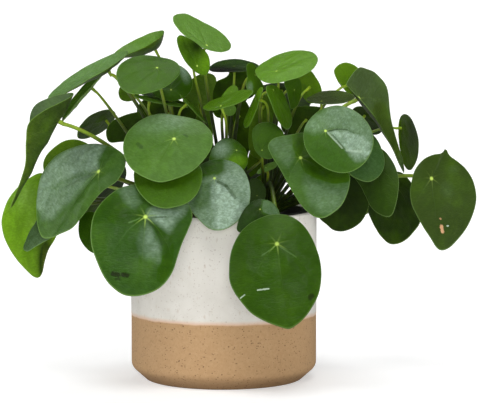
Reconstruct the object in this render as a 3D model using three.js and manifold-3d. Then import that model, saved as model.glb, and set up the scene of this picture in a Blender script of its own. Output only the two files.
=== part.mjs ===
// A potted pilea: round leaves on long petioles, growing from three short stems in a black grow pot,
// which stands inside a straight stoneware pot with a pale glaze dipped over its upper two thirds.
// Millimetres, +Z up. The origin is the middle of the pot's foot, and the plant is seen from -Y.
import * as THREE from 'three';
import { mergeVertices } from 'three/addons/utils/BufferGeometryUtils.js';
import Module from 'manifold-3d';

const wasm = await Module();
wasm.setup();

// Driving dimensions
const POT_RADIUS = 80.9;
const POT_HEIGHT = 148;
const POT_WALL = 6;
const POT_FLOOR = 8;
const FOOT_INSET = 13.2; // the chamfer round the foot, across and up
const FOOT_RISE = 11.7;
const GLAZE_LINE = 57; // height of the glaze's lower edge
const GLAZE = 0.2; // thickness of the glaze
const LINER_RADIUS = 70; // the black grow pot, at its rim
const LINER_TAPER = 6;
const LINER_WALL = 1.6;
const LINER_TOP = 148;
const LINER_LIP = 2.4;
const SOIL_TOP = 134;
const SOIL_MOUND = 5;
const STEM_RADIUS = 6;
const BLADE = 1; // thickness of a leaf's blade
const PETIOLE_ROOT = 2; // radius of a petiole where it leaves the stem
const GAP = 0.3; // between pieces that touch

// Where the plant was looked at from, which turns a pixel of the 482 x 403 photograph into a sight line
const EYE = new THREE.Vector3(0, -2400, 389);
const AIM = new THREE.Vector3(15, 0, 154.7);
const FOCAL = 2769;
const MIDDLE = [241, 201.5];

// The three stems: where each stands, and how high it reaches
const STEMS = {
  left: { at: [-32, -8], top: 158 },
  right: { at: [35, -6], top: 160 },
  back: { at: [2, 30], top: 166 },
};

// Leaves. hub: the pixel of the pale spot where the petiole joins. ahead: mm in front of the pot's axis.
// size: length and width in mm. seat: how far the hub lies from the leaf's base, as a share of its length.
// turn: degrees between the upper face and the viewer, then which way that face leans and which way the
// tip points, both as seen, anticlockwise from the right. rim: pixels round the outline, where it shows
// well enough to follow. plan: half widths in mm along the midrib, for blades seen on edge. The others are
// ovals. dome, fold, droop, twist: mm of each at the rim. lift, swing: how far the petiole arches over, and
// how soon it turns square on to the blade, as shares of its length.
const LEAVES = [
  { hub: [206.5, 45.5], ahead: 8, size: [58, 56], seat: 0.1, turn: [69, 61, 112], stem: 'back', lift: 0,
    swing: 0.05,
    rim: [[173, 17], [178, 14], [186, 14], [198, 19], [209, 25], [219, 31], [227, 38], [231, 45],
      [229, 50], [222, 52], [210, 50.5], [199, 46], [188, 38], [179, 30], [174, 23]] },
  { hub: [197, 66], ahead: 26, size: [42, 38], seat: 0.22, turn: [36, 30, 118], stem: 'back', lift: 0.02,
    swing: 0.04,
    rim: [[177, 38], [180, 35], [190, 39], [200, 46], [208, 55], [210, 66], [207, 74.5], [202, 75],
      [195, 71.5], [188, 65], [182, 56], [178, 46]] },
  { hub: [155, 49], ahead: -30, size: [50, 46], seat: 0.28, turn: [78, 116, 206], stem: 'left', dome: -10.5 },
  { hub: [108, 69.5], ahead: 24, size: [80, 70], seat: 0.28, turn: [81, 117, 207], stem: 'left', dome: -6,
    droop: 5, lift: 0.2, swing: 0.05 },
  { hub: [157, 68], ahead: 62, size: [58, 58], seat: 0.28, turn: [53, 94, 218], stem: 'left', dome: 2,
    rim: [[116.5, 72], [120, 64.5], [130, 58], [140, 55.5], [150, 55.5], [160, 57], [172, 60], [179.5, 66],
      [179, 75], [171, 83], [160, 89.5], [150, 93], [140, 94], [130, 93.5], [121, 88], [117, 80]] },
  { hub: [171, 90], ahead: 10, size: [40, 40], seat: 0.22, turn: [35, 80, 95], stem: 'left', dome: 4 },
  { hub: [58, 121], ahead: 64, size: [104, 64], seat: 0.27, turn: [82, 151, 241], stem: 'left', fold: 26,
    twist: 24,
    plan: [[-27, 0], [-22, 9], [-12, 20], [0, 29], [12, 30], [28, 20], [42, 10], [60, 4.5], [84, 0]] },
  { hub: [91.5, 88], ahead: -25, size: [56, 50], seat: 0.3, turn: [84, 139, 229], stem: 'left', fold: 5,
    lift: 0.02, swing: 0.06 },
  { hub: [106, 120], ahead: -62, size: [44, 40], seat: 0.3, turn: [116, 123, 213], stem: 'left',
    rim: [[80, 126], [90, 115.5], [100, 111], [109, 109.5], [115.5, 113], [114, 120], [104, 131],
      [95, 135.5], [84, 139], [78, 138], [77.5, 132]] },
  { hub: [136, 130], ahead: -38, size: [50, 32], seat: 0.3, turn: [170, 100, 200], stem: 'left',
    rim: [[106, 131], [112, 121.5], [120, 117], [132, 113], [146, 112], [156, 118], [158, 130],
      [150, 139], [136, 140], [120, 142], [109, 142]] },
  { hub: [174, 139], ahead: 82, size: [80, 78], seat: 0.36, turn: [40, 92, 238], stem: 'left', dome: 3,
    rim: [[123, 146], [127, 133], [134, 125], [142, 119.5], [160, 113.7], [180, 116], [200, 121],
      [207, 126.5], [212, 134], [213, 142], [210, 151], [202, 162], [192, 171], [183, 176], [172, 180],
      [160, 182], [148, 179], [138, 174], [130, 167], [125, 158]] },
  { hub: [168, 171], ahead: 90, size: [60, 60], seat: 0.35, turn: [42, 90, 268], stem: 'left', dome: 3,
    rim: [[134, 172], [134, 180], [136, 187], [141, 195], [148, 202], [156, 206.5], [165, 208.5],
      [175, 207.5], [184, 204.5], [192, 199.5], [198, 192], [202, 180], [201, 168], [190, 158], [172, 154],
      [152, 157], [138, 164]] },
  { hub: [98.5, 171.5], ahead: 72, size: [96, 84], seat: 0.26, turn: [52, 142, 231], stem: 'left', fold: 3, dome: 5,
    rim: [[89, 144], [100, 144], [115, 148.5], [122, 153], [125.5, 160], [124, 170], [117, 181], [103, 191],
      [90, 206], [80, 219], [72, 228], [60, 234], [51, 238], [43, 238], [38, 228], [36, 207], [39, 182],
      [44, 170], [52, 160], [64, 151], [77, 146]] },
  { hub: [76, 158], ahead: 0, size: [52, 46], seat: 0.3, turn: [135, 100, 220], stem: 'left',
    rim: [[43, 165], [45, 158], [50, 151], [56, 146], [63, 141.5], [70, 139.5], [77, 139.5], [88, 144],
      [96, 152], [98, 164], [90, 176], [74, 184], [56, 182], [46, 175]] },
  { hub: [45, 203], ahead: 5, size: [92, 80], seat: 0.26, turn: [135, 180, 273], stem: 'left', dome: 6,
    rim: [[42, 173], [28, 179], [15, 190], [5, 206], [1.5, 222], [4, 237], [9, 248], [17, 260], [28, 272],
      [35, 277.5], [39, 277.5], [42, 273], [45, 260], [49, 249], [56, 237], [62, 221], [63, 203],
      [56, 184]] },
  { hub: [58, 206], ahead: 38, size: [58, 46], seat: 0.26, turn: [50, 140, 231], stem: 'left', lift: 0.2,
    rim: [[35, 223], [30, 231], [26, 240], [23, 249], [28, 251.5], [35, 247], [42, 243], [50, 238.5],
      [60, 231], [67, 213], [69, 198], [63, 191], [52, 195], [42, 208]] },
  { hub: [145.5, 217], ahead: 112, size: [97, 86], seat: 0.29, turn: [20, 90, 265], stem: 'left', dome: 7,
    rim: [[133, 184.5], [118, 189], [103, 201], [94, 214], [90.5, 232], [91.5, 246], [97, 262], [104, 277],
      [112, 287], [124, 295], [138, 296], [154, 291.5], [165, 283], [173, 271], [177, 259], [182, 244],
      [188, 230], [192.5, 217], [189, 205], [178, 193], [163, 186], [148, 183]] },
  { hub: [96, 224], ahead: 45, size: [42, 30], seat: 0.3, turn: [40, 170, 265], stem: 'left', lift: 0.4,
    rim: [[79.5, 220], [78.5, 228], [79, 235], [81, 241], [86, 248], [93, 253], [102, 253], [108, 244],
      [109, 230], [104, 218], [94, 212], [85, 213]] },
  { hub: [214.5, 178.5], ahead: 80, size: [62, 56], seat: 0.26, turn: [28, 90, 270], stem: 'left', dome: 4,
    rim: [[187, 204], [191, 211], [202, 223], [208, 228], [216, 230.5], [226, 229], [237, 222],
      [244, 214.5], [249, 205], [250.5, 194], [249.5, 184], [246, 174], [240, 166], [232, 161.5],
      [222, 159.5], [212, 160], [202, 164], [193, 172], [187, 182], [185, 193]] },
  { hub: [236.5, 150.5], ahead: 45, size: [36, 34], seat: 0.3, turn: [40, 75, 205], stem: 'right', dome: 3,
    rim: [[210, 155], [212, 149], [219, 141], [226, 138], [233, 139], [240, 143.5], [246, 150], [248, 158],
      [246, 167], [238, 174], [226, 176], [214, 172], [209, 163]] },
  { hub: [262, 150.5], ahead: 53, size: [31, 30], seat: 0.2, turn: [40, 90, 58], stem: 'right',
    rim: [[252, 136], [253, 129], [258, 124], [265, 122], [272, 123], [279, 127], [284, 134], [284, 145],
      [279, 154], [270, 159], [261, 157], [255, 150]] },
  { hub: [221, 106], ahead: 50, size: [42, 46], seat: 0.18, turn: [75, 109, 100], stem: 'back',
    rim: [[203, 107.5], [210, 101.5], [220, 97.5], [230, 94], [240, 90.5], [248, 89.5], [253, 91],
      [251, 95], [245, 100], [236, 104], [228, 106.5], [220, 109], [212, 110.3], [205, 109.8]] },
  { hub: [273, 90], ahead: 34, size: [44, 36], seat: 0.2, turn: [66, 21, 291], stem: 'right',
    rim: [[278, 87.5], [283, 93], [287, 101], [290, 110], [292, 119], [291, 126], [287, 129.5],
      [282, 126], [277, 118], [273, 109], [269.5, 100], [266.5, 92], [266, 87], [269, 85.2],
      [274, 85.4]] },
  { hub: [276.5, 71.5], ahead: 25, size: [55, 54], seat: 0.26, turn: [63, 101, 25], stem: 'right', dome: 1,
    rim: [[255, 71], [257, 76], [262, 81], [270, 83.3], [280, 82.5], [290, 80], [300, 77], [310, 71.5],
      [316, 65], [318, 59], [315, 54], [308, 51], [298, 50], [287, 52], [276, 55.5], [266, 61],
      [258, 66.5]] },
  { hub: [321.5, 101.5], ahead: 5, size: [46, 45], seat: 0.15, turn: [75, 88, 60], stem: 'right',
    rim: [[306.5, 99.5], [312, 95.5], [320, 92], [330, 90.5], [340, 91], [350, 93.5], [355, 96.5],
      [352, 100], [343, 103], [332, 104], [320, 103.8], [311, 102]] },
  { hub: [359, 98], ahead: 42, size: [96, 76], seat: 0.25, turn: [70, 34, 310], stem: 'right', fold: 17,
    droop: 10,
    plan: [[-17, 0], [-15, 25], [-9, 30], [0, 35], [16, 35], [38, 18], [59, 10], [71, 7], [79, 0]] },
  { hub: [325.5, 131], ahead: 95, size: [60, 58], seat: 0.28, turn: [22, 80, 329], stem: 'right', dome: 4,
    lift: 0.3, swing: 0.2,
    rim: [[303.5, 135], [305, 127], [310, 119], [318, 111.5], [328, 107], [338, 105.5], [348, 107.5],
      [358, 113], [367, 122], [372.5, 133], [373.5, 144], [370, 155], [363, 164.5], [353, 171],
      [343, 173], [332, 171], [321, 165.5], [311, 157], [305, 146]] },
  { hub: [300.5, 158], ahead: 74, size: [78, 74], seat: 0.28, turn: [25, 70, 286], stem: 'right', twist: 8,
    rim: [[268, 146], [272, 139.5], [280, 136.5], [292, 134.5], [304, 133], [311, 140], [321, 151],
      [335, 163], [349, 174], [349.5, 185], [346, 197], [341, 206], [333, 213], [324, 218], [316, 217.5],
      [309, 213], [301, 205], [291, 189], [281, 171], [272, 156]] },
  { hub: [364, 152], ahead: 66, size: [46, 42], seat: 0.3, turn: [35, 60, 280], stem: 'right', dome: 3,
    rim: [[372, 134], [378, 141], [382, 150], [384.5, 160], [383, 170], [377, 178], [368, 182],
      [358, 179.5], [350, 174], [344, 164], [344, 150], [352, 138], [363, 132]] },
  { hub: [343, 194], ahead: 34, size: [54, 46], seat: 0.3, turn: [160, 40, 268], stem: 'right',
    rim: [[320, 219], [326, 224], [333, 230], [342, 231.5], [352, 228.5], [361, 222], [366.5, 213],
      [369, 204], [366, 194], [360, 184], [350, 175], [336, 176], [324, 186], [317, 200], [316, 211]] },
  { hub: [378, 168], ahead: 50, size: [60, 44], seat: 0.28, turn: [25, 150, 275], stem: 'right', dome: 4,
    rim: [[355, 178], [361, 187], [366, 197], [371, 207], [378, 213.5], [388, 217], [392, 215],
      [396, 204], [398.5, 190], [398.5, 178], [395, 166], [389, 156], [382, 149], [370, 147], [358, 153],
      [352, 165]] },
  { hub: [397, 187], ahead: -15, size: [62, 46], seat: 0.28, turn: [135, 20, 268], stem: 'right',
    rim: [[368, 211], [371, 219], [375, 227], [380.5, 236], [389, 243.5], [397, 244], [405, 240.5],
      [413, 233], [420, 222], [420, 208], [416, 192], [410, 181], [402, 173], [391, 172], [379, 180],
      [371, 194]] },
  { hub: [431.5, 178.5], ahead: 40, size: [88, 68], seat: 0.28, turn: [35, 0, 278], stem: 'right', dome: 4,
    rim: [[410, 192], [411, 184], [415, 170], [424, 159], [434, 154.5], [442, 153], [445.5, 148.5],
      [449, 155], [457, 161], [466, 169], [473, 180], [476.5, 196], [474, 211], [467, 227], [458, 239],
      [449, 248], [441, 250.5], [436, 247], [431, 239], [424, 228.5], [416, 214], [411, 202]] },
  { hub: [402, 128], ahead: -20, size: [50, 42], seat: 0.24, turn: [112, 3, 277], stem: 'right', dome: 2,
    rim: [[399, 122], [401, 116.5], [404.5, 114], [409, 116], [413, 122], [416.5, 131], [418.5, 142],
      [418, 155], [415, 164], [411, 170], [406, 168], [402, 158], [399.5, 145], [398.5, 132]] },
  { hub: [277, 244], ahead: 126, size: [98, 80], seat: 0.27, turn: [18, 95, 278], stem: 'right', dome: 6,
    lift: 0.55,
    rim: [[229, 270], [230, 257], [233, 246], [240, 233], [249, 224], [260, 218], [272, 214.5],
      [284, 214.5], [295, 218.5], [304, 226], [311, 236], [316, 247], [320, 260], [321.5, 275], [319, 293],
      [313, 306], [305, 317.5], [296, 325.5], [289, 329], [280, 327], [263, 320.5], [251, 313],
      [242, 303], [234, 292], [229.5, 281]] },
  { hub: [260, 209.5], ahead: 104, size: [38, 38], seat: 0.3, turn: [20, 90, 255], stem: 'right', dome: 3,
    rim: [[237, 230], [238, 222], [242, 213], [248, 205], [256, 200], [265, 199.5], [273, 203],
      [278.5, 210], [279.5, 216], [271, 224], [260, 230], [250, 233], [241, 233]] },
  { hub: [234, 66.5], ahead: -45, size: [46, 46], seat: 0.4, turn: [77, 92, 60], stem: 'back',
    rim: [[209, 68], [214, 63.5], [222, 60.5], [233, 59], [245, 60.5], [253, 62.5], [259, 66], [254, 69.5],
      [244, 71.5], [230, 72], [218, 72], [211, 71]] },
  { hub: [365, 115], ahead: -35, size: [36, 30], seat: 0.3, turn: [125, 60, 290], stem: 'right' },
  { hub: [306, 120], ahead: -50, size: [44, 30], seat: 0.4, turn: [168, 60, 290], stem: 'right',
    rim: [[281, 120], [287, 112], [296, 107], [310, 106], [325, 108], [337, 113], [335, 123], [320, 132],
      [303, 137], [290, 137], [282, 130]] },
  { hub: [236, 88], ahead: -74, size: [46, 34], seat: 0.4, turn: [150, 90, 270], stem: 'back',
    rim: [[211, 98], [211, 86], [217, 81], [224, 78], [228, 75.5], [230, 70.5], [240, 69], [252, 71],
      [257, 77], [257, 86], [255.5, 93], [251, 98], [247.5, 99], [244, 106], [238, 114], [228, 117.5],
      [217, 117.5], [212, 110]] },
  { hub: [200, 104], ahead: -70, size: [60, 30], seat: 0.4, turn: [150, 90, 270], stem: 'back',
    rim: [[183, 94], [188, 83], [197, 75.5], [207, 73], [214, 75], [216.5, 80], [213, 92], [213, 112],
      [213, 130], [211, 146], [204, 150], [196, 138], [190, 121], [184, 108]] },
  { hub: [264, 232], ahead: 104, lift: 0.55, size: [88, 78], seat: 0.28, turn: [20, 90, 275], stem: 'back', dome: 6,
    behind: true },
  { hub: [178, 238], ahead: 118, lift: 0.55, size: [86, 78], seat: 0.28, turn: [22, 90, 262], stem: 'back', dome: 5,
    behind: true },
  { hub: [224, 188], ahead: 98, size: [66, 62], seat: 0.3, turn: [30, 90, 270], stem: 'back', dome: 4,
    behind: true },
  { hub: [276, 152], ahead: 78, size: [70, 66], seat: 0.3, turn: [42, 88, 272], stem: 'back', dome: 3,
    behind: true },
  { hub: [148, 160], ahead: 74, size: [70, 64], seat: 0.3, turn: [42, 95, 260], stem: 'back', dome: 4,
    behind: true },
  { hub: [352, 190], ahead: 50, size: [72, 64], seat: 0.3, turn: [50, 50, 292], stem: 'left', fold: 6,
    behind: true },
  { hub: [98, 190], ahead: 66, size: [62, 56], seat: 0.3, turn: [35, 130, 248], stem: 'right', dome: 3,
    behind: true },
  { hub: [286, 88], ahead: 56, size: [42, 42], seat: 0.3, turn: [60, 80, 300], stem: 'left', dome: 2,
    behind: true },
  { hub: [162, 100], ahead: 74, size: [54, 50], seat: 0.3, turn: [55, 100, 250], stem: 'right', dome: 2,
    behind: true },
  { hub: [168, 113], ahead: -56, size: [56, 36], seat: 0.4, turn: [150, 100, 190], stem: 'left',
    rim: [[137, 109], [142, 101], [153, 97], [170, 98], [186, 103], [196, 110], [196, 118], [186, 123],
      [168, 124], [150, 123], [139, 118]] },
  { hub: [260, 158], ahead: -60, size: [50, 40], seat: 0.4, turn: [150, 90, 270], stem: 'back',
    rim: [[250, 150], [253, 140], [261, 134], [271, 136], [277, 146], [279, 160], [276, 174], [268, 183],
      [256, 183], [248, 174], [247.5, 162]] },
];

// Small leaves, as pale as the petioles: each stays one piece with its stem.
const YOUNG = [
  { hub: [230, 110], ahead: 5, size: [14, 12], seat: 0.2, turn: [40, 10, 95], stem: 'back',
    rim: [[222, 107], [226, 104], [232, 104], [236, 108], [235, 113], [230, 116], [224, 113]] },
  { hub: [256, 99], ahead: 40, size: [36, 14], seat: 0.25, turn: [60, 161, 251], stem: 'right',
    rim: [[261, 87], [256, 94], [251, 104], [247, 114], [243.5, 123], [245, 128], [249, 126],
      [253, 118], [257, 108], [260, 98], [263, 89]] },
  { hub: [150, 99], ahead: 10, size: [48, 30], seat: 0.3, turn: [82, 78, 348], stem: 'left' },
  { hub: [188, 103], ahead: 30, size: [34, 20], seat: 0.3, turn: [83, 43, 313], stem: 'left' },
  { hub: [132, 92], ahead: -55, size: [18, 16], seat: 0.3, turn: [150, 100, 250], stem: 'left', lift: 0.24,
    rim: [[119.5, 88], [118.5, 94], [121, 99.5], [127, 101.5], [134, 100], [139, 95], [139, 88],
      [133, 83], [125, 83]] },
  { hub: [310, 87], ahead: -45, size: [28, 22], seat: 0.3, turn: [135, 45, 300], stem: 'right',
    rim: [[296, 76], [304, 70], [311, 71], [317, 79], [321, 87], [322, 95], [317, 102], [309, 103],
      [303, 97], [299, 88]] },
  { hub: [294, 90], ahead: 2, size: [28, 15], seat: 0.3, turn: [45, 10, 275], stem: 'right',
    rim: [[284, 82], [287, 92], [289, 102], [291, 109], [296, 107], [300, 99], [301.5, 90], [301, 82],
      [296, 77], [288, 77]] },
  { hub: [349.5, 84], ahead: -58, size: [28, 24], seat: 0.3, turn: [140, 30, 118], stem: 'right',
    rim: [[334, 71], [337, 66], [341, 63.5], [346, 62.5], [352, 64], [358, 68], [361, 76], [360, 86],
      [356, 94], [349, 94], [343, 88], [337, 80]] },
  { hub: [257, 196], ahead: 64, size: [24, 18], seat: 0.3, turn: [30, 90, 100], stem: 'right',
    rim: [[250, 180], [255, 178], [261, 181], [265, 187], [266, 195], [262, 203], [254, 206],
      [247, 202], [245, 193], [246, 185]] },
  { hub: [255, 75], ahead: -15, size: [24, 12], seat: 0.3, turn: [40, 20, 288], stem: 'back',
    rim: [[247, 64], [253, 63.5], [257, 69], [259, 77], [262, 83], [265, 89], [260, 91], [256.5, 94],
      [252, 95], [248, 91], [246, 85], [247.5, 78], [246.5, 71]] },
  { hub: [239, 116], ahead: -45, size: [46, 22], seat: 0.3, turn: [150, 60, 290], stem: 'back',
    rim: [[229, 109], [233, 101], [242, 98], [249, 106], [252, 122], [251, 142], [246, 159], [239, 164],
      [232, 157], [229, 142], [228, 125]] },
  { hub: [264, 106], ahead: -22, size: [48, 22], seat: 0.3, turn: [150, 60, 290], stem: 'right',
    rim: [[254, 105], [258, 97], [266, 94], [273, 101], [276, 116], [275, 134], [269, 151], [260, 159],
      [252, 156], [248.5, 145], [249, 129], [251, 116]] },
  { hub: [266, 168], ahead: 24, size: [22, 9], seat: 0.3, turn: [50, 110, 10], stem: 'right',
    rim: [[257, 172], [261, 168], [267, 164], [273, 162], [277.5, 162.5], [276, 167], [269, 170.5], [262, 173],
      [258, 174]] },
  { hub: [231, 92], ahead: 4, size: [16, 12], seat: 0.3, turn: [50, 70, 110], stem: 'back',
    rim: [[221.5, 98], [225, 91.5], [229.5, 87], [234, 85.3], [237.5, 87.5], [238, 92], [234, 95.5],
      [228, 98.5]] },
];

const forward = AIM.clone().sub(EYE).normalize();
const rightward = forward.clone().cross(new THREE.Vector3(0, 0, 1)).normalize();
const upward = rightward.clone().cross(forward);

// The point on the sight line through a pixel, so many millimetres in front of the pot's axis
function seen([across, down], ahead) {
  const ray = forward.clone().multiplyScalar(FOCAL);
  ray.addScaledVector(rightward, across - MIDDLE[0]).addScaledVector(upward, MIDDLE[1] - down);
  return EYE.clone().addScaledVector(ray, (-ahead - EYE.y) / ray.y);
}

// A leaf's own axes: along to the tip, across, and out of the upper face
function axesOf(leaf) {
  const hub = seen(leaf.hub, leaf.ahead);
  const toEye = EYE.clone().sub(hub).normalize();
  const right = new THREE.Vector3(0, 0, 1).cross(toEye).normalize();
  const up = toEye.clone().cross(right);
  const [tilt, lean, tip] = leaf.turn.map(THREE.MathUtils.degToRad);
  const leaning = right.clone().multiplyScalar(Math.cos(lean)).addScaledVector(up, Math.sin(lean));
  const level = right.clone().multiplyScalar(-Math.sin(lean)).addScaledVector(up, Math.cos(lean));
  const out = toEye.clone().multiplyScalar(Math.cos(tilt)).addScaledVector(leaning, Math.sin(tilt));
  const away = leaning.clone().multiplyScalar(Math.cos(tilt)).addScaledVector(toEye, -Math.sin(tilt));
  const foreshortening = Math.sign(Math.cos(tilt)) * Math.max(Math.abs(Math.cos(tilt)), 0.12);
  const along = level.multiplyScalar(Math.sin(tip - lean))
    .addScaledVector(away, Math.cos(tip - lean) / foreshortening).normalize();
  if (leaf.behind) [hub, along, out].forEach((v) => v.set(-v.x, -v.y, v.z));
  return { hub, along, out, across: out.clone().cross(along) };
}

// How high the blade stands over its plane at [s, t] mm along and across, a share of the way to the rim
function bladeHeight(leaf, [s, t], share) {
  const { dome = 0, fold = 0, droop = 0, twist = 0 } = leaf;
  const [length, width] = leaf.size;
  const lengthwise = s / (length * (1 - leaf.seat));
  const side = t / (width / 2);
  return fold * (Math.hypot(side, 0.15) - 0.15) + twist * side * lengthwise
    - dome * share ** 2 - droop * Math.max(0, lengthwise) ** 2;
}

// The outline in the leaf's plane, anticlockwise round the hub: an oval, the plan, or the rim's pixels
function outline(leaf, rimPoints) {
  if (leaf.plan) {
    const oneSide = leaf.plan.map(([s, half]) => new THREE.Vector3(s, -half, 0));
    const otherSide = leaf.plan.slice(1, -1).reverse().map(([s, half]) => new THREE.Vector3(s, half, 0));
    return smoothLoop([...oneSide, ...otherSide], rimPoints);
  }
  if (!leaf.rim) {
    const [length, width] = leaf.size;
    return Array.from({ length: rimPoints }, (_, i) => {
      const angle = (2 * Math.PI * i) / rimPoints;
      return [(0.5 - leaf.seat) * length + (length / 2) * Math.cos(angle), (width / 2) * Math.sin(angle)];
    });
  }
  const { hub, along, across, out } = axesOf(leaf);
  const corners = leaf.rim.map((pixel) => {
    let place = [0, 0];
    for (let pass = 0; pass < 6; pass++) {
      const ray = seen(pixel, 0).sub(EYE);
      const lifted = hub.clone().addScaledVector(out, bladeHeight(leaf, place, 1));
      const reach = lifted.sub(EYE).dot(out) / ray.dot(out);
      const onBlade = EYE.clone().addScaledVector(ray, reach).sub(hub);
      place = [onBlade.dot(along), onBlade.dot(across)];
    }
    return new THREE.Vector3(...place, 0);
  });
  const turning = corners.reduce((sum, p, i) => {
    const next = corners[(i + 1) % corners.length];
    return sum + p.x * next.y - next.x * p.y;
  }, 0);
  if (turning < 0) corners.reverse();
  return smoothLoop(corners, rimPoints);
}

function smoothLoop(corners, rimPoints) {
  const curve = new THREE.CatmullRomCurve3(corners, true);
  return curve.getSpacedPoints(rimPoints).slice(0, rimPoints).map((p) => [p.x, p.y]);
}

// The closed blade: an upper and a lower skin of rings round the hub, split alike, and the edge between
function bladeGeometry(leaf, rimPoints) {
  const { hub, along, across, out } = axesOf(leaf);
  const bent = leaf.dome || leaf.fold || leaf.droop || leaf.twist;
  const shares = !bent ? [0, 1] : leaf.size[0] > 40 ? [0, 0.4, 0.74, 1] : [0, 0.55, 1];
  const positions = [];
  const place = ([s, t], share, lift) => {
    const height = bladeHeight(leaf, [s, t], share) + lift;
    const p = hub.clone().addScaledVector(along, s).addScaledVector(across, t).addScaledVector(out, height);
    positions.push(p.x, p.y, p.z);
  };
  const rim = outline(leaf, rimPoints);
  for (const lift of [BLADE / 2, -BLADE / 2]) {
    place([0, 0], 0, lift);
    for (const share of shares.slice(1)) {
      for (const [s, t] of rim) place([s * share, t * share], share, lift);
    }
  }
  const rings = shares.length - 1;
  const perSkin = 1 + rings * rimPoints;
  const at = (skin, ring, i) => skin * perSkin + (ring ? 1 + (ring - 1) * rimPoints + (i % rimPoints) : 0);
  const faces = [];
  for (let i = 0; i < rimPoints; i++) {
    for (const skin of [0, 1]) {
      const add = (a, b, c) => faces.push(...(skin ? [a, c, b] : [a, b, c]));
      add(at(skin, 0, 0), at(skin, 1, i), at(skin, 1, i + 1));
      for (let ring = 1; ring < rings; ring++) {
        add(at(skin, ring, i), at(skin, ring + 1, i), at(skin, ring + 1, i + 1));
        add(at(skin, ring, i), at(skin, ring + 1, i + 1), at(skin, ring, i + 1));
      }
    }
    faces.push(at(0, rings, i), at(1, rings, i), at(1, rings, i + 1));
    faces.push(at(0, rings, i), at(1, rings, i + 1), at(0, rings, i + 1));
  }
  return new THREE.BufferGeometry()
    .setAttribute('position', new THREE.Float32BufferAttribute(positions, 3))
    .setIndex(faces);
}

// How far the blade's lower skin dips below its hub within a petiole's width
function dipOf(leaf) {
  const petiole = 2;
  const slopes = outline(leaf, 16).map(([s, t]) => {
    const inner = [s * 0.4, t * 0.4];
    return (bladeHeight(leaf, [0, 0], 0) - bladeHeight(leaf, inner, 0.4)) / Math.hypot(...inner);
  });
  return Math.max(0, ...slopes) * petiole;
}

// A tube of few sides along points, from one radius to another, closed at both ends
function taperedTube(points, rootRadius, tipRadius, sides) {
  const path = new THREE.CatmullRomCurve3(points);
  const steps = points.length - 1;
  const positions = [];
  const faces = [];
  let normal = new THREE.Vector3(0.31, 0.87, 0.39);
  points.forEach((centre, ring) => {
    const before = points[Math.max(ring - 1, 0)];
    const after = points[Math.min(ring + 1, steps)];
    const tangent = ring === steps ? centre.clone().sub(before) : path.getTangent(ring / steps);
    if (ring === 0) tangent.copy(after).sub(centre);
    tangent.normalize();
    normal = normal.clone().addScaledVector(tangent, -normal.dot(tangent)).normalize();
    const binormal = tangent.clone().cross(normal);
    const radius = THREE.MathUtils.lerp(rootRadius, tipRadius, ring / steps);
    for (let i = 0; i < sides; i++) {
      const a = (2 * Math.PI * i) / sides;
      const p = centre.clone().addScaledVector(normal, radius * Math.cos(a))
        .addScaledVector(binormal, radius * Math.sin(a));
      positions.push(p.x, p.y, p.z);
    }
  });
  const at = (ring, i) => ring * sides + (i % sides);
  for (let ring = 0; ring < steps; ring++) {
    for (let i = 0; i < sides; i++) {
      faces.push(at(ring, i), at(ring, i + 1), at(ring + 1, i + 1));
      faces.push(at(ring, i), at(ring + 1, i + 1), at(ring + 1, i));
    }
  }
  for (let i = 1; i < sides - 1; i++) {
    faces.push(at(0, 0), at(0, i + 1), at(0, i));
    faces.push(at(steps, 0), at(steps, i), at(steps, i + 1));
  }
  return new THREE.BufferGeometry()
    .setAttribute('position', new THREE.Float32BufferAttribute(positions, 3))
    .setIndex(faces);
}

// A petiole's line: out of its stem, up and over in one easy bend, and square on to the blade's underside
function petioleLine(leaf, gap) {
  const { hub, out } = axesOf(leaf);
  const stem = STEMS[leaf.stem];
  const away = new THREE.Vector3(hub.x - stem.at[0], hub.y - stem.at[1], 0);
  const reach = away.length();
  away.normalize();
  const root = new THREE.Vector3(stem.at[0], stem.at[1], stem.top - 4 - Math.min(16, reach * 0.14));
  root.addScaledVector(away, 2);
  const join = hub.clone().addScaledVector(out, -(BLADE / 2 + gap + 5));
  const run = join.distanceTo(root);
  const { lift = 0.12, swing = 0.16 } = leaf;
  const first = root.clone().lerp(join, 0.35).add(new THREE.Vector3(0, 0, run * lift * 1.3));
  const second = join.clone().addScaledVector(out, -run * swing).add(new THREE.Vector3(0, 0, run * lift * 0.4));
  const bend = new THREE.CubicBezierCurve3(root, first, second, join);
  const points = [0, 0.2, 0.42, 0.64, 0.84, 1].map((share) => bend.getPoint(share));
  points.push(hub.clone().addScaledVector(out, -(BLADE / 2 + gap)));
  return points;
}

function solid(geometry) {
  const bare = geometry.index ? geometry.toNonIndexed() : geometry;
  const points = new THREE.BufferGeometry().setAttribute('position', bare.getAttribute('position'));
  const merged = mergeVertices(points, 1e-3);
  return new wasm.Manifold(new wasm.Mesh({
    numProp: 3,
    vertProperties: merged.attributes.position.array,
    triVerts: new Uint32Array(merged.index.array),
  }));
}

function geometryOf(made) {
  const mesh = made.getMesh();
  return new THREE.BufferGeometry()
    .setAttribute('position', new THREE.BufferAttribute(new Float32Array(mesh.vertProperties), 3))
    .setIndex(new THREE.BufferAttribute(new Uint32Array(mesh.triVerts), 1));
}

// A profile of [radius, height] pairs turned round Z
function turned(profile, segments) {
  const points = profile.map(([radius, height]) => new THREE.Vector2(radius, height));
  return new THREE.LatheGeometry(points, segments).rotateX(Math.PI / 2);
}

const plant = new THREE.Group();

function add(name, geometry, finish) {
  const mesh = new THREE.Mesh(geometry, finish.clone());
  mesh.name = name;
  plant.add(mesh);
}

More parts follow.
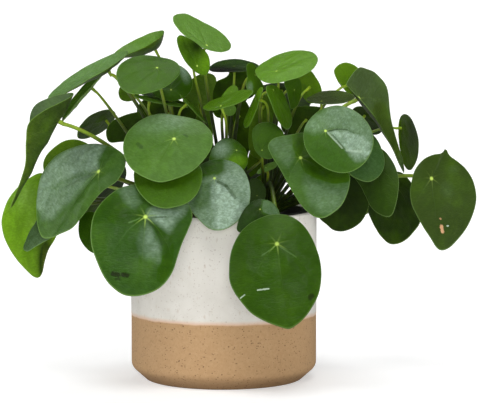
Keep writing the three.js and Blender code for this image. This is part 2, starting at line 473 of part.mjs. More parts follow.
const stoneware = new THREE.MeshStandardMaterial({ color: 0xb39468, roughness: 0.85, metalness: 0 });
const blackPlastic = new THREE.MeshStandardMaterial({ color: 0x141413, roughness: 0.55, metalness: 0 });
const pottingMix = new THREE.MeshStandardMaterial({ color: 0x2c2119, roughness: 1, metalness: 0 });
const stalk = new THREE.MeshStandardMaterial({ color: 0x7d9a34, roughness: 0.5, metalness: 0 });
const foliage = new THREE.MeshStandardMaterial({ color: 0x3f6a2a, roughness: 0.4, metalness: 0 });

function outerPot() {
  const glazed = POT_RADIUS;
  const bare = POT_RADIUS - GLAZE;
  const inner = POT_RADIUS - POT_WALL;
  return turned([
    [0, 0],
    [POT_RADIUS - FOOT_INSET, 0],
    [POT_RADIUS - FOOT_INSET + 1.2, 1],
    [bare - 1.6, FOOT_RISE - 1.4],
    [bare, FOOT_RISE + 2],
    [bare, GLAZE_LINE - 0.8],
    [glazed, GLAZE_LINE + 0.8],
    [glazed, POT_HEIGHT - 1.6],
    [glazed - 1.6, POT_HEIGHT],
    [inner + 1.6, POT_HEIGHT],
    [inner, POT_HEIGHT - 1.6],
    [inner, POT_FLOOR + 6],
    [inner - 6, POT_FLOOR],
    [0, POT_FLOOR],
  ], 64);
}

function growPot() {
  const top = LINER_TOP;
  const floor = POT_FLOOR + GAP;
  const footRadius = LINER_RADIUS - LINER_TAPER;
  return turned([
    [0, floor],
    [footRadius, floor],
    [LINER_RADIUS, top - 8],
    [LINER_RADIUS + LINER_LIP, top - 7],
    [LINER_RADIUS + LINER_LIP, top],
    [LINER_RADIUS - LINER_WALL, top],
    [footRadius - LINER_WALL, floor + LINER_WALL],
    [0, floor + LINER_WALL],
  ], 48);
}

function soil() {
  const floor = POT_FLOOR + GAP + LINER_WALL + GAP;
  const footRadius = LINER_RADIUS - LINER_TAPER - LINER_WALL - GAP;
  const topRadius = LINER_RADIUS - LINER_WALL - GAP - 0.7;
  let made = solid(turned([
    [0, floor],
    [footRadius, floor],
    [topRadius, SOIL_TOP],
    [topRadius * 0.8, SOIL_TOP + SOIL_MOUND * 0.3],
    [topRadius * 0.45, SOIL_TOP + SOIL_MOUND * 0.85],
    [0, SOIL_TOP + SOIL_MOUND],
  ], 40));
  for (const stem of Object.values(STEMS)) {
    made = made.subtract(solid(stemGeometry(stem, GAP)));
  }
  return geometryOf(made);
}

// A short woody stem, thickest at the soil and rounded at its growing tip
function stemGeometry({ at, top }, grow) {
  const foot = SOIL_TOP - 14 - grow;
  const radius = STEM_RADIUS + grow;
  return turned([
    [0, foot],
    [radius * 0.8, foot],
    [radius, SOIL_TOP - 2],
    [radius * 0.85, top - 8],
    [radius * 0.6, top - 2],
    [0, top + grow],
  ], 12).translate(at[0], at[1], 0);
}

add('pot', outerPot(), stoneware);
add('grow_pot', growPot(), blackPlastic);
add('soil', soil(), pottingMix);

const stems = Object.fromEntries(
  Object.entries(STEMS).map(([name, stem]) => [name, solid(stemGeometry(stem, 0))]),
);

for (const leaf of LEAVES) {
  const thickness = THREE.MathUtils.clamp(leaf.size[0] / 56, 0.9, 1.6);
  const line = petioleLine(leaf, GAP + dipOf(leaf));
  const petiole = solid(taperedTube(line, PETIOLE_ROOT, thickness, 5));
  stems[leaf.stem] = stems[leaf.stem].add(petiole);
}
for (const leaf of YOUNG) {
  const line = petioleLine(leaf, -BLADE / 2);
  stems[leaf.stem] = stems[leaf.stem].add(solid(taperedTube(line, PETIOLE_ROOT, 1, 5)))
    .add(solid(bladeGeometry(leaf, 10)));
}
// Petioles packed side by side can close round a sliver of air, so only the outer skin is kept.
for (const [name, made] of Object.entries(stems)) {
  const outerSkin = made.decompose().reduce((a, b) => (b.volume() > a.volume() ? b : a));
  add('stem_' + name, geometryOf(outerSkin), stalk);
}

LEAVES.forEach((leaf, i) => {
  const rimPoints = leaf.size[0] > 70 ? 18 : leaf.size[0] > 40 ? 16 : 14;
  add('leaf_' + String(i + 1).padStart(2, '0'), bladeGeometry(leaf, rimPoints), foliage);
});

export default plant;
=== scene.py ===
# %% [markdown]
# # A potted pilea
# A pilea has round, leathery leaves. Each hangs on a long petiole that joins the blade near its middle,
# like the handle of an umbrella. This one grows from three short stems in a black grow pot, which stands
# inside a straight stoneware pot. The plain solids of all of it come from the drawing. Here each is dressed
# with a finer piece of the same form, and with the finish of the real surface.

# %% Start from the plain solids
import bpy
import math
import numpy as np
from mathutils import Matrix, Vector, noise


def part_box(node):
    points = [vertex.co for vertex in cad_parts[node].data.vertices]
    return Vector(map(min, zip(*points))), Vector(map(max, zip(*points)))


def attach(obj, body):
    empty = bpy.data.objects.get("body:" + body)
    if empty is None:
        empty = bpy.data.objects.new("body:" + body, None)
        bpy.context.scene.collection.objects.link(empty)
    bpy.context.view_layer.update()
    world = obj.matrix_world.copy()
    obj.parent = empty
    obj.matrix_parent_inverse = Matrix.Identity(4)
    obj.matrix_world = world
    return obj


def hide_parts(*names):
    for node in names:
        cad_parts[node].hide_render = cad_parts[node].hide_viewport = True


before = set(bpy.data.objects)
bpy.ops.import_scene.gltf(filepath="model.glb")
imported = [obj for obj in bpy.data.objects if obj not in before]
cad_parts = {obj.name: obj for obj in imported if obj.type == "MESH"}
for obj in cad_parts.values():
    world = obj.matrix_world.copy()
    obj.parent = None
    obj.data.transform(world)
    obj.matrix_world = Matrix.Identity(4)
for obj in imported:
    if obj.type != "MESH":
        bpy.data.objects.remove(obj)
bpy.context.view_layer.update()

# %% [markdown]
# ## The photographer's place
# The leaves were read off the photograph, so the camera comes first. It stands 2.4 m away and a little
# above the rim, with a long lens, and has no shift and no depth of field. All lengths below are in
# millimetres, as on the workbench, and become metres when a mesh is made.

# %% Camera
MM = 0.001
EYE = np.array([0.0, -2400.0, 389.0])
AIM = np.array([15.0, 0.0, 154.7])
FOCAL = 2769.0
MIDDLE = (241.0, 201.5)
SENSOR = 36.0


def unit(v):
    return v / np.linalg.norm(v)


forward = unit(AIM - EYE)
rightward = unit(np.cross(forward, [0, 0, 1]))
upward = np.cross(rightward, forward)

lens = bpy.data.cameras.new("camera")
lens.sensor_width = SENSOR
lens.lens = FOCAL * SENSOR / (2 * MIDDLE[0])
lens.clip_end = 200
camera = bpy.data.objects.new("camera", lens)
camera.location = EYE * MM
camera.rotation_euler = Vector(AIM - EYE).to_track_quat("-Z", "Y").to_euler()
bpy.context.collection.objects.link(camera)
bpy.context.scene.camera = camera
print("lens", round(lens.lens, 1), "mm")

# %% [markdown]
# ## Helpers for meshes
# Every piece is a plain mesh whose object stays at the origin. One helper makes it with its finishes and
# hangs it on the plant's body: it moves with the body, and may stand in for a solid, which is then hidden.

# %% Making a piece
def piece(name, points, faces, finishes, replaces=()):
    """A smooth mesh through points given in mm."""
    mesh = bpy.data.meshes.new(name)
    mesh.from_pydata([tuple(p) for p in np.asarray(points) * MM], [], faces)
    for finish in finishes:
        mesh.materials.append(finish)
    mesh.polygons.foreach_set("use_smooth", [True] * len(mesh.polygons))
    mesh.update()
    obj = bpy.data.objects.new(name, mesh)
    bpy.context.collection.objects.link(obj)
    hand_over(obj, replaces)
    return obj


def hand_over(obj, replaces=()):
    """The plant has one body, so every piece moves with it."""
    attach(obj, "root")
    if replaces:
        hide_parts(*replaces)


def give(obj, name, values):
    """One number for each point of a mesh, kept as an attribute."""
    layer = obj.data.attributes.new(name, "FLOAT", "POINT")
    layer.data.foreach_set("value", np.asarray(values, dtype=np.float32))


# %% [markdown]
# ## Helpers for node trees
# Materials and Geometry Nodes are both trees. These helpers place a node, fill or link its inputs and give
# back an output, so that a formula reads nearly as it would on paper.

# %% Placing nodes
def place(tree, kind, inputs=None, **settings):
    """A new node. An input is linked where its value is the output of another node, and else filled."""
    node = tree.nodes.new(kind)
    for key, value in settings.items():
        setattr(node, key, value)
    for key, value in (inputs or {}).items():
        if isinstance(value, bpy.types.NodeSocket):
            tree.links.new(value, node.inputs[key])
        else:
            node.inputs[key].default_value = value
    return node


def result(tree, kind, inputs=None, **settings):
    """The first output of a new node."""
    return place(tree, kind, inputs, **settings).outputs[0]


def calc(tree, operation, a, b=0.0, c=0.0, clamp=False):
    return result(tree, "ShaderNodeMath", {0: a, 1: b, 2: c}, operation=operation, use_clamp=clamp)


def arrow(tree, operation, a, b=(0, 0, 0), scale=1.0):
    """Vector maths, which gives a vector or, for some operations, a number."""
    node = place(tree, "ShaderNodeVectorMath", {0: a, 1: b, 3: scale}, operation=operation)
    number = operation in ("LENGTH", "DISTANCE", "DOT_PRODUCT")
    return node.outputs["Value" if number else "Vector"]


def split(tree, vector):
    """The three parts of a vector."""
    return place(tree, "ShaderNodeSeparateXYZ", {0: vector}).outputs


def blend(tree, share, a, b):
    """Mix two colours."""
    return place(tree, "ShaderNodeMix", {0: share, 6: a, 7: b}, data_type="RGBA").outputs[2]


def ramp(tree, value, low, high, to_low=0.0, to_high=1.0):
    """A soft step from one value to another."""
    return result(tree, "ShaderNodeMapRange", {0: value, 1: low, 2: high, 3: to_low, 4: to_high},
                  interpolation_type="SMOOTHSTEP")


# %% [markdown]
# Colours are written as a picture gives them. An effect is a group of nodes that several materials share,
# and a material is always its own Principled shader, fed with colours, masks and heights.

# %% Colours, effects and materials
def srgb(red, green, blue):
    """A colour as a picture gives it, 0 to 255, made linear for the shaders."""
    linear = [c / 12.92 if c <= 0.04045 else ((c + 0.055) / 1.055) ** 2.4
              for c in (red / 255, green / 255, blue / 255)]
    return (*linear, 1.0)


def effect(name, inputs, outputs):
    """A shader group with named inputs and outputs, and its two ends."""
    tree = bpy.data.node_groups.new(name, "ShaderNodeTree")
    for label, kind, value in inputs:
        socket = tree.interface.new_socket(name=label, in_out="INPUT", socket_type="NodeSocket" + kind)
        if value is not None:
            socket.default_value = value
    for label, kind in outputs:
        tree.interface.new_socket(name=label, in_out="OUTPUT", socket_type="NodeSocket" + kind)
    return tree, tree.nodes.new("NodeGroupInput").outputs, tree.nodes.new("NodeGroupOutput").inputs


def use(tree, group, inputs):
    """The outputs of an effect that is placed with its own values."""
    return place(tree, "ShaderNodeGroup", inputs, node_tree=group).outputs


def material(name, **constants):
    """A material with its Principled shader; constants are set on the shader's own sockets."""
    made = bpy.data.materials.new(name)
    made.use_nodes = True
    tree = made.node_tree
    shader = tree.nodes["Principled BSDF"]
    for key, value in constants.items():
        shader.inputs[key.replace("_", " ")].default_value = value
    return made, tree, shader


def where(tree):
    """A place in the piece's own space, so that a finish moves with its piece."""
    return tree.nodes.new("ShaderNodeTexCoord").outputs["Object"]


def stretched(tree, vector, scale):
    return result(tree, "ShaderNodeMapping", {"Vector": vector, "Scale": scale})


def clouds(tree, vector, scale, detail=3.0, roughness=0.55):
    return result(tree, "ShaderNodeTexNoise",
                  {"Vector": vector, "Scale": scale, "Detail": detail, "Roughness": roughness})


def bumped(tree, shader, height, strength, distance):
    bump = result(tree, "ShaderNodeBump", {"Height": height, "Strength": strength, "Distance": distance})
    tree.links.new(bump, shader.inputs["Normal"])


def colour(tree, shader, value):
    tree.links.new(value, shader.inputs["Base Color"])


# %% [markdown]
# ## Specks, for the glaze and the clay
# Iron in stoneware clay melts into small brown specks, sharp in the bare clay and soft under the glaze. A
# Voronoi texture gives each cell one point. Cells are drawn by lot, so only some hold a speck, each of its
# own size. Both finishes use the group, with their own values.

# %% Specks group
specks, given, made = effect(
    "specks",
    [("Vector", "Vector", None), ("Scale", "Float", 300.0), ("Share", "Float", 0.4), ("Size", "Float", 0.3),
     ("Softness", "Float", 0.1)],
    [("Mask", "Float")])
cells = place(specks, "ShaderNodeTexVoronoi", {"Vector": given["Vector"], "Scale": given["Scale"]})
lot = place(specks, "ShaderNodeSeparateColor", {0: cells.outputs["Color"]}).outputs
size = calc(specks, "MULTIPLY", calc(specks, "POWER", lot[1], 2.0), given["Size"])
edge = calc(specks, "SUBTRACT", size, cells.outputs["Distance"])
inside = calc(specks, "DIVIDE", edge, given["Softness"], clamp=True)
chosen = calc(specks, "LESS_THAN", lot[0], given["Share"])
specks.links.new(calc(specks, "MULTIPLY", inside, chosen), made["Mask"])
print("group", specks.name)

# %% [markdown]
# ## Stoneware: bare clay below, glaze above
# The pot was fired once, with a cream glaze dipped over its upper part. The glaze ends in a soft, slightly
# uneven line with a warm edge, where it is thin. Towards the rim it is painted paler: painted light against
# the shade of the leaves. One material does both, so that they meet without a seam: the height above the
# foot, unsettled by a little noise, tells glaze from clay. The foot is painted darker: painted shade.

# %% Stoneware material
GLAZE_LINE = 57.0
FOOT_SHADE = 12.0
LIT_RIM_FROM, LIT_RIM_TO = 70.0, 140.0
UNEVEN = 2.2

stoneware, tree, shader = material("stoneware")
at = where(tree)
height = split(tree, at)[2]
uneven = calc(tree, "MULTIPLY_ADD", clouds(tree, at, 60.0, 2.0), UNEVEN * MM, -UNEVEN / 2 * MM)
line = calc(tree, "ADD", height, uneven)
glazed = ramp(tree, line, (GLAZE_LINE - 0.7) * MM, (GLAZE_LINE + 0.9) * MM)
thin = calc(tree, "MULTIPLY", ramp(tree, line, (GLAZE_LINE - 1.5) * MM, GLAZE_LINE * MM),
            ramp(tree, line, GLAZE_LINE * MM, (GLAZE_LINE + 4.5) * MM, 1.0, 0.0))
# Paler towards the rim: painted light, against the shade the leaves cast on the glaze.
thick = ramp(tree, height, LIT_RIM_FROM * MM, LIT_RIM_TO * MM)
mottle = clouds(tree, at, 90.0, 4.0)
coarse = clouds(tree, at, 420.0, 5.0, 0.7)
small = use(tree, specks, {"Vector": at, "Scale": 900.0, "Share": 0.36, "Size": 0.7, "Softness": 0.3})["Mask"]
big = use(tree, specks, {"Vector": at, "Scale": 520.0, "Share": 0.12, "Size": 0.5, "Softness": 0.2})["Mask"]
spots = calc(tree, "MAXIMUM", small, big)
long = stretched(tree, at, (1.0, 1.0, 0.45))
veil = use(tree, specks, {"Vector": long, "Scale": 480.0, "Share": 0.4, "Size": 0.7, "Softness": 0.5})["Mask"]

clay = blend(tree, mottle, srgb(180, 145, 104), srgb(186, 153, 113))
clay = blend(tree, ramp(tree, coarse, 0.35, 0.65, 0.25, 0.0), clay, srgb(150, 112, 74))
# Darker at the foot: painted shade.
clay = blend(tree, ramp(tree, height, 2.0 * MM, FOOT_SHADE * MM, 0.4, 0.0), clay, srgb(104, 78, 54))
clay = blend(tree, calc(tree, "MULTIPLY", spots, 0.72), clay, srgb(90, 60, 38))

# The cream is painted paler towards the rim: painted light.
cream = blend(tree, thick, srgb(212, 208, 199), srgb(243, 239, 230))
cream = blend(tree, ramp(tree, mottle, 0.3, 0.7, 0.0, 0.3), cream, srgb(236, 233, 227))
cream = blend(tree, calc(tree, "MULTIPLY", veil, 0.36), cream, srgb(178, 154, 128))
cream = blend(tree, calc(tree, "MULTIPLY", spots, 0.3), cream, srgb(132, 104, 80))
cream = blend(tree, calc(tree, "MULTIPLY", thin, 0.75), cream, srgb(214, 170, 132))

colour(tree, shader, blend(tree, glazed, clay, cream))
tree.links.new(ramp(tree, glazed, 0.0, 1.0, 0.85, 0.42), shader.inputs["Roughness"])
grit = calc(tree, "MULTIPLY", coarse, ramp(tree, glazed, 0.0, 1.0, 1.0, 0.12))
bumped(tree, shader, calc(tree, "SUBTRACT", grit, calc(tree, "MULTIPLY", spots, 0.3)), 0.35, 0.0006)
print("stoneware with", len(tree.nodes), "nodes")

# %% [markdown]
# ## Plastic, potting mix and bark
# The grow pot is thin black plastic, faintly grained. The mix is dark peat with lighter crumbs, and its
# bits of bark are red-brown. These are plain materials with some noise in the colour and the bump.

# %% Plastic, mix and bark materials
black_plastic, tree, shader = material("black plastic", Roughness=0.5)
at = where(tree)
colour(tree, shader, blend(tree, clouds(tree, at, 130.0), srgb(22, 22, 21), srgb(40, 39, 37)))
bumped(tree, shader, clouds(tree, at, 1500.0), 0.15, 0.0002)

potting_mix, tree, shader = material("potting mix", Roughness=0.95)
at = where(tree)
peat = blend(tree, clouds(tree, at, 260.0, 5.0, 0.7), srgb(26, 18, 12), srgb(74, 54, 38))
colour(tree, shader, blend(tree, ramp(tree, clouds(tree, at, 700.0), 0.6, 0.75), peat, srgb(110, 86, 62)))
bumped(tree, shader, clouds(tree, at, 900.0, 5.0, 0.75), 0.8, 0.0008)

bark, tree, shader = material("bark chips", Roughness=0.85)
at = where(tree)
grain = clouds(tree, stretched(tree, at, (1.0, 0.3, 1.0)), 700.0, 4.0, 0.7)
colour(tree, shader, blend(tree, grain, srgb(92, 48, 30), srgb(158, 98, 64)))
bumped(tree, shader, grain, 0.6, 0.0005)
print("plastic, mix and bark")

# %% [markdown]
# ## Turning the pots
# A pot is thrown on a wheel: one profile, turned round the upright axis. That is a rule, so Geometry Nodes
# follow it. The profile is a row of points (radius, height). A grid gets one column for each step round and
# one row for each profile point, and every grid point is sent to its place. Doubles at the seam and on the
# axis are merged.

# %% Turning tree
def inputs_of(tree, *sockets):
    """The named inputs of a tree, and its one output, a geometry."""
    for label, kind in sockets:
        tree.interface.new_socket(name=label, in_out="INPUT", socket_type="NodeSocket" + kind)
    tree.interface.new_socket(name="Geometry", in_out="OUTPUT", socket_type="NodeSocketGeometry")
    return tree.nodes.new("NodeGroupInput").outputs, tree.nodes.new("NodeGroupOutput").inputs


def finished(tree, geometry, given, made, smooth=True):
    """Every tree ends alike: shading, real geometry, and its finish."""
    shaded = result(tree, "GeometryNodeSetShadeSmooth", {"Geometry": geometry, "Shade Smooth": smooth})
    real = result(tree, "GeometryNodeRealizeInstances", {"Geometry": shaded})
    done = result(tree, "GeometryNodeSetMaterial", {"Geometry": real, "Material": given["Finish"]})
    tree.links.new(done, made["Geometry"])


turning = bpy.data.node_groups.new("turn a profile", "GeometryNodeTree")
given, made = inputs_of(turning, ("Profile", "Geometry"), ("Steps round", "Int"), ("Finish", "Material"))
rows = result(turning, "GeometryNodeAttributeDomainSize", {0: given["Profile"]})
columns = calc(turning, "ADD", given["Steps round"], 1.0)
grid = result(turning, "GeometryNodeMeshGrid",
              {"Size X": 1.0, "Size Y": 1.0, "Vertices X": columns, "Vertices Y": rows})
index = result(turning, "GeometryNodeInputIndex")
row = calc(turning, "MODULO", index, rows)
column = calc(turning, "FLOOR", calc(turning, "DIVIDE", calc(turning, "ADD", index, 0.5), rows))
angle = calc(turning, "DIVIDE", calc(turning, "MULTIPLY", column, 2 * math.pi), given["Steps round"])
position = result(turning, "GeometryNodeInputPosition")
spot = result(turning, "GeometryNodeSampleIndex",
              {"Geometry": given["Profile"], "Value": position, "Index": row}, data_type="FLOAT_VECTOR")
radius, _, level = split(turning, spot)
turned = result(turning, "ShaderNodeCombineXYZ",
                {0: calc(turning, "MULTIPLY", radius, calc(turning, "COSINE", angle)),
                 1: calc(turning, "MULTIPLY", radius, calc(turning, "SINE", angle)), 2: level})
moved = result(turning, "GeometryNodeSetPosition", {"Geometry": grid, "Position": turned})
closed = result(turning, "GeometryNodeMergeByDistance", {"Geometry": moved, "Distance": 1e-6})
finished(turning, closed, given, made)
print("tree", turning.name)

# %% [markdown]
# A tree runs on a few points or edges that carry named numbers. Its mesh is kept, and the modifier is
# dropped.

# %% Running a tree
def grown(name, points, edges, tree, values, attributes=None):
    """The mesh that a tree makes of points given in mm."""
    seed = bpy.data.meshes.new(name)
    seed.from_pydata([tuple(p) for p in np.asarray(points) * MM], edges, [])
    obj = bpy.data.objects.new(name, seed)
    bpy.context.collection.objects.link(obj)
    for label, numbers in (attributes or {}).items():
        give(obj, label, numbers)
    modifier = obj.modifiers.new(name, "NODES")
    modifier.node_group = tree
    for socket in tree.interface.items_tree:
        if socket.in_out == "INPUT" and socket.name in values:
            modifier[socket.identifier] = values[socket.name]
    bpy.context.view_layer.update()
    solid = bpy.data.meshes.new_from_object(obj.evaluated_get(bpy.context.evaluated_depsgraph_get()))
    obj.modifiers.clear()
    obj.data = solid
    solid.name = name
    face_outwards(solid)
    return obj


def face_outwards(mesh):
    """Turn all faces round where the volume they close comes out negative."""
    mesh.calc_loop_triangles()
    corners = np.empty(len(mesh.vertices) * 3)
    mesh.vertices.foreach_get("co", corners)
    corners = corners.reshape(-1, 3)
    index = np.empty(len(mesh.loop_triangles) * 3, dtype=np.int32)
    mesh.loop_triangles.foreach_get("vertices", index)
    a, b, c = (corners[index[k::3]] for k in range(3))
    if np.einsum("ij,ij->", a, np.cross(b, c)) < 0:
        mesh.flip_normals()


# %% [markdown]
# ## The stoneware pot
# The profile starts on the axis under the foot, goes up the outside, over the lip, and down the inside to
# the middle of the floor. A helper rounds each corner with an arc, because fired clay has no sharp edge.
# Radius and height are measured on the plain solid.

# %% Pot
def rounded(corners, steps=6):
    """A profile of (radius, height, rounding) as points, with an arc at each corner that has a rounding."""
    points = []
    for i, (r, z, rounding) in enumerate(corners):
        here = np.array([r, z])
        if not rounding:
            points.append(here)
            continue
        last, following = (np.array(corners[i + k][:2]) for k in (-1, 1))
        start, end = here + unit(last - here) * rounding, here + unit(following - here) * rounding
        for t in np.linspace(0, 1, steps):
            points.append(start * (1 - t) ** 2 + here * 2 * t * (1 - t) + end * t ** 2)
    return [(p[0], 0, p[1]) for p in points]


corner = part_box("pot")[1]
RADIUS, HEIGHT = round(corner[0] / MM, 1), round(corner[2] / MM, 1)
WALL, BASE = 6.0, 8.0
FOOT_INSET, FOOT_RISE = 13.2, 11.7
GLAZE, GLAZE_EDGE = 0.2, 0.8
BARE, INNER = RADIUS - GLAZE, RADIUS - WALL
POT = [(0, 0, 0), (RADIUS - FOOT_INSET, 0, 1.5), (BARE, FOOT_RISE, 4), (BARE, GLAZE_LINE - GLAZE_EDGE, 0.6),
       (RADIUS, GLAZE_LINE + GLAZE_EDGE, 0.6), (RADIUS, 100, 0), (RADIUS, HEIGHT, 2.6), (INNER, HEIGHT, 2.6),
       (INNER, BASE, 6), (0, BASE, 0)]
pot = grown("stoneware_pot", rounded(POT), [], turning, {"Steps round": 160, "Finish": stoneware})
hand_over(pot, ["pot"])
print("pot,", RADIUS, "mm to the outside and", HEIGHT, "mm tall:", len(pot.data.polygons), "faces")

# %% [markdown]
# ## The grow pot
# The same tree turns the thin black pot that the plant was raised in. It tapers, and only its lip shows, as
# a dark edge just inside the stoneware rim.

# %% Grow pot
GAP = 0.3
LINER, LINER_TAPER, LINER_WALL, LIP = 70.0, 6.0, 1.6, 2.4
LINER_FOOT = LINER - LINER_TAPER
UNDER_LINER = BASE + GAP
IN_LINER = UNDER_LINER + LINER_WALL
GROW_POT = [(0, UNDER_LINER, 0), (LINER_FOOT, UNDER_LINER, 1.5), (LINER, HEIGHT - 8, 0.5),
            (LINER + LIP, HEIGHT - 7, 0.5), (LINER + LIP, HEIGHT, 0.8), (LINER - LINER_WALL, HEIGHT, 0.8),
            (LINER_FOOT - LINER_WALL, IN_LINER, 1.5), (0, IN_LINER, 0)]
liner = grown("black_grow_pot", rounded(GROW_POT, 4), [], turning,
              {"Steps round": 96, "Finish": black_plastic})
hand_over(liner, ["grow_pot"])
print("grow pot:", len(liner.data.polygons), "faces")

# %% [markdown]
# ## Leaf colours
# The upper face is deep green and leathery, with a soft shine, and turns silvery where it mirrors the sky:
# the shader gives part of that, and a painted sheen the rest. The underside is a paler, yellower green. Light
# also comes through the blade, so a leaf lit from above glows below. The shader's subsurface scattering does
# that on a thin closed blade. Veins run out from the pale spot where the petiole joins, and curve towards the
# tip. Between them the face is crinkled, in small cells, and the hollows of the crinkle get painted shade.
#
# A vein has a bearing, counted in radians from the tip and the same on both sides, a strength in the
# colour, a length as a share of the leaf, and the depth of its furrow. The blades further down use the same
# table.

# %% Veins group
VEINS = ((0.0, 1.0, 0.72, 1.0), (1.0, 0.9, 0.5, 0.9), (1.9, 0.45, 0.3, 0.5), (2.7, 0.35, 0.22, 0.4))
CURVING = 1.3

veining, given, made = effect("veins", [("Plane", "Vector", None)],
                              [(label, "Float") for label in ("Vein", "Core", "Rays", "Crinkle", "Cells")])
plane = given["Plane"]
ahead_of, aside, _ = split(veining, plane)
reach = arrow(veining, "LENGTH", plane)
wander = calc(veining, "MULTIPLY_ADD", clouds(veining, plane, 3.0, 2.0), 1.0, -0.5)
turn = calc(veining, "ABSOLUTE", calc(veining, "ARCTAN2", aside, ahead_of))
curve = calc(veining, "MULTIPLY", reach, CURVING)
turn = calc(veining, "MULTIPLY_ADD", calc(veining, "SINE", turn), curve, turn)
turn = calc(veining, "MULTIPLY_ADD", wander, calc(veining, "MULTIPLY", reach, 0.7), turn)
vein = 0.0
for bearing, strength, length, _ in VEINS:
    apart = calc(veining, "ABSOLUTE", calc(veining, "SUBTRACT", turn, bearing))
    line = ramp(veining, calc(veining, "MULTIPLY", apart, reach), 0.001, 0.011, strength, 0.0)
    line = calc(veining, "MULTIPLY", line, ramp(veining, reach, length * 0.15, length, 1.0, 0.0))
    vein = calc(veining, "MAXIMUM", vein, line)
net = place(veining, "ShaderNodeTexVoronoi", {"Vector": plane, "Scale": 17.0}, feature="SMOOTH_F1")
ripple = clouds(veining, stretched(veining, plane, (2.6, 1.0, 1.0)), 24.0, 4.0, 0.6)
swirl = place(veining, "ShaderNodeTexNoise", {"Vector": plane, "Scale": 14.0, "Detail": 4.0})
swirl = arrow(veining, "ADD", plane, arrow(veining, "SCALE", swirl.outputs["Color"], scale=0.14))
cracks = place(veining, "ShaderNodeTexVoronoi", {"Vector": swirl, "Scale": 15.0}, feature="DISTANCE_TO_EDGE")
for label, value in (
        ("Vein", vein),
        ("Core", ramp(veining, reach, 0.007, 0.027, 1.0, 0.0)),
        ("Rays", calc(veining, "MULTIPLY", vein, ramp(veining, reach, 0.015, 0.12, 1.0, 0.0))),
        ("Crinkle", calc(veining, "MULTIPLY_ADD", net.outputs["Distance"], -0.45, ripple)),
        ("Cells", ramp(veining, cracks.outputs["Distance"], 0.0, 0.4))):
    veining.links.new(value, made[label])
print("group", veining.name)

# %% [markdown]
# Rot, scars and scratches, and the painted highlights and painted shade along some veins, are strokes: a
# straight line between two places on the blade, with ragged edges.
# The group measures how far a place lies from the line, and gives a mask.

# %% Marks group
strokes, given, made = effect(
    "strokes",
    [("Plane", "Vector", None), ("From", "Vector", None), ("To", "Vector", None), ("Width", "Float", 0.01)],
    [("Mask", "Float")])
reach = arrow(strokes, "SUBTRACT", given["To"], given["From"])
apart = arrow(strokes, "SUBTRACT", given["Plane"], given["From"])
along = arrow(strokes, "DOT_PRODUCT", apart, reach)
whole = arrow(strokes, "DOT_PRODUCT", reach, reach)
nearest = arrow(strokes, "SCALE", reach, scale=calc(strokes, "DIVIDE", along, whole, clamp=True))
off = arrow(strokes, "DISTANCE", apart, nearest)
ragged = calc(strokes, "MULTIPLY_ADD", clouds(strokes, given["Plane"], 60.0, 3.0), 1.6, 0.2)
off = calc(strokes, "DIVIDE", calc(strokes, "MULTIPLY", off, ragged), given["Width"])
strokes.links.new(ramp(strokes, off, 0.35, 0.65, 1.0, 0.0), made["Mask"])
print("group", strokes.name)

# %% [markdown]
# Four numbers on each point steer the leaf material: how fresh the green is, or below zero how olive; how
# much painted silvery sheen lies on it, or below zero how much painted shade; its share of the way to the
# rim; and how clearly the veins are drawn.

# %% Leaf materials
OLIVE, SHADE, HEART = srgb(66, 76, 34), srgb(12, 18, 4), srgb(206, 236, 110)


def leaf_material(name, old, young, vein_colour, painted_sheen_colour, strength, marks=(), **constants):
    made, tree, shader = material(name, Subsurface_Radius=(0.8, 1.0, 0.25), Subsurface_Scale=0.0035,
                                  **constants)
    plane = place(tree, "ShaderNodeUVMap", uv_map="plane").outputs[0]
    fresh, painted_light, rim, veined = (place(tree, "ShaderNodeAttribute", attribute_name=label).outputs["Fac"]
                                 for label in ("fresh", "painted_light", "share", "veined"))
    veins = use(tree, veining, {"Plane": plane})
    at = where(tree)
    green = blend(tree, calc(tree, "MAXIMUM", fresh, 0.0), old, young)
    green = blend(tree, calc(tree, "MAXIMUM", calc(tree, "MULTIPLY", fresh, -1.0), 0.0), green, OLIVE)
    green = blend(tree, ramp(tree, clouds(tree, at, 38.0, 4.0), 0.4, 0.75, 0.0, 0.16), green, young)
    # Darker in the hollows of the crinkle: painted shade.
    green = blend(tree, ramp(tree, veins["Crinkle"], 0.2, 0.5, 0.22, 0.0), green, srgb(26, 46, 10))
    # Painted sheen: a silvery tint where the value is above zero, broken up by the crinkle and its cells.
    painted_sheen = calc(tree, "MULTIPLY", painted_light, ramp(tree, veins["Crinkle"], 0.1, 0.46, 0.7, 1.2))
    painted_sheen = calc(tree, "MULTIPLY", painted_sheen, ramp(tree, veins["Cells"], 0.0, 1.0, 0.84, 1.12), clamp=True)
    green = blend(tree, painted_sheen, green, painted_sheen_colour)
    drawn = calc(tree, "MULTIPLY", veins["Vein"], calc(tree, "MULTIPLY", veined, strength))
    green = blend(tree, drawn, green, vein_colour)
    green = blend(tree, ramp(tree, rim, 0.975, 0.992, 0.0, 0.55), green, vein_colour)
    spot = calc(tree, "MAXIMUM", veins["Core"], calc(tree, "MULTIPLY", veins["Rays"], veined))
    green = blend(tree, calc(tree, "MULTIPLY", spot, 0.9), green, HEART)
    # Painted shade where the value is below zero.
    green = blend(tree, calc(tree, "MULTIPLY", painted_light, -1.0, clamp=True), green, SHADE)
    for start, end, width, tint, much in marks:
        mask = use(tree, strokes, {"Plane": plane, "From": start, "To": end, "Width": width})["Mask"]
        green = blend(tree, calc(tree, "MULTIPLY", mask, much), green, tint)
    colour(tree, shader, green)
    height = calc(tree, "MULTIPLY_ADD", veins["Vein"], -0.5, veins["Crinkle"])
    height = calc(tree, "MULTIPLY_ADD", clouds(tree, at, 800.0, 3.0), 0.1, height)
    bumped(tree, shader, height, 0.4, 0.0014)
    return made


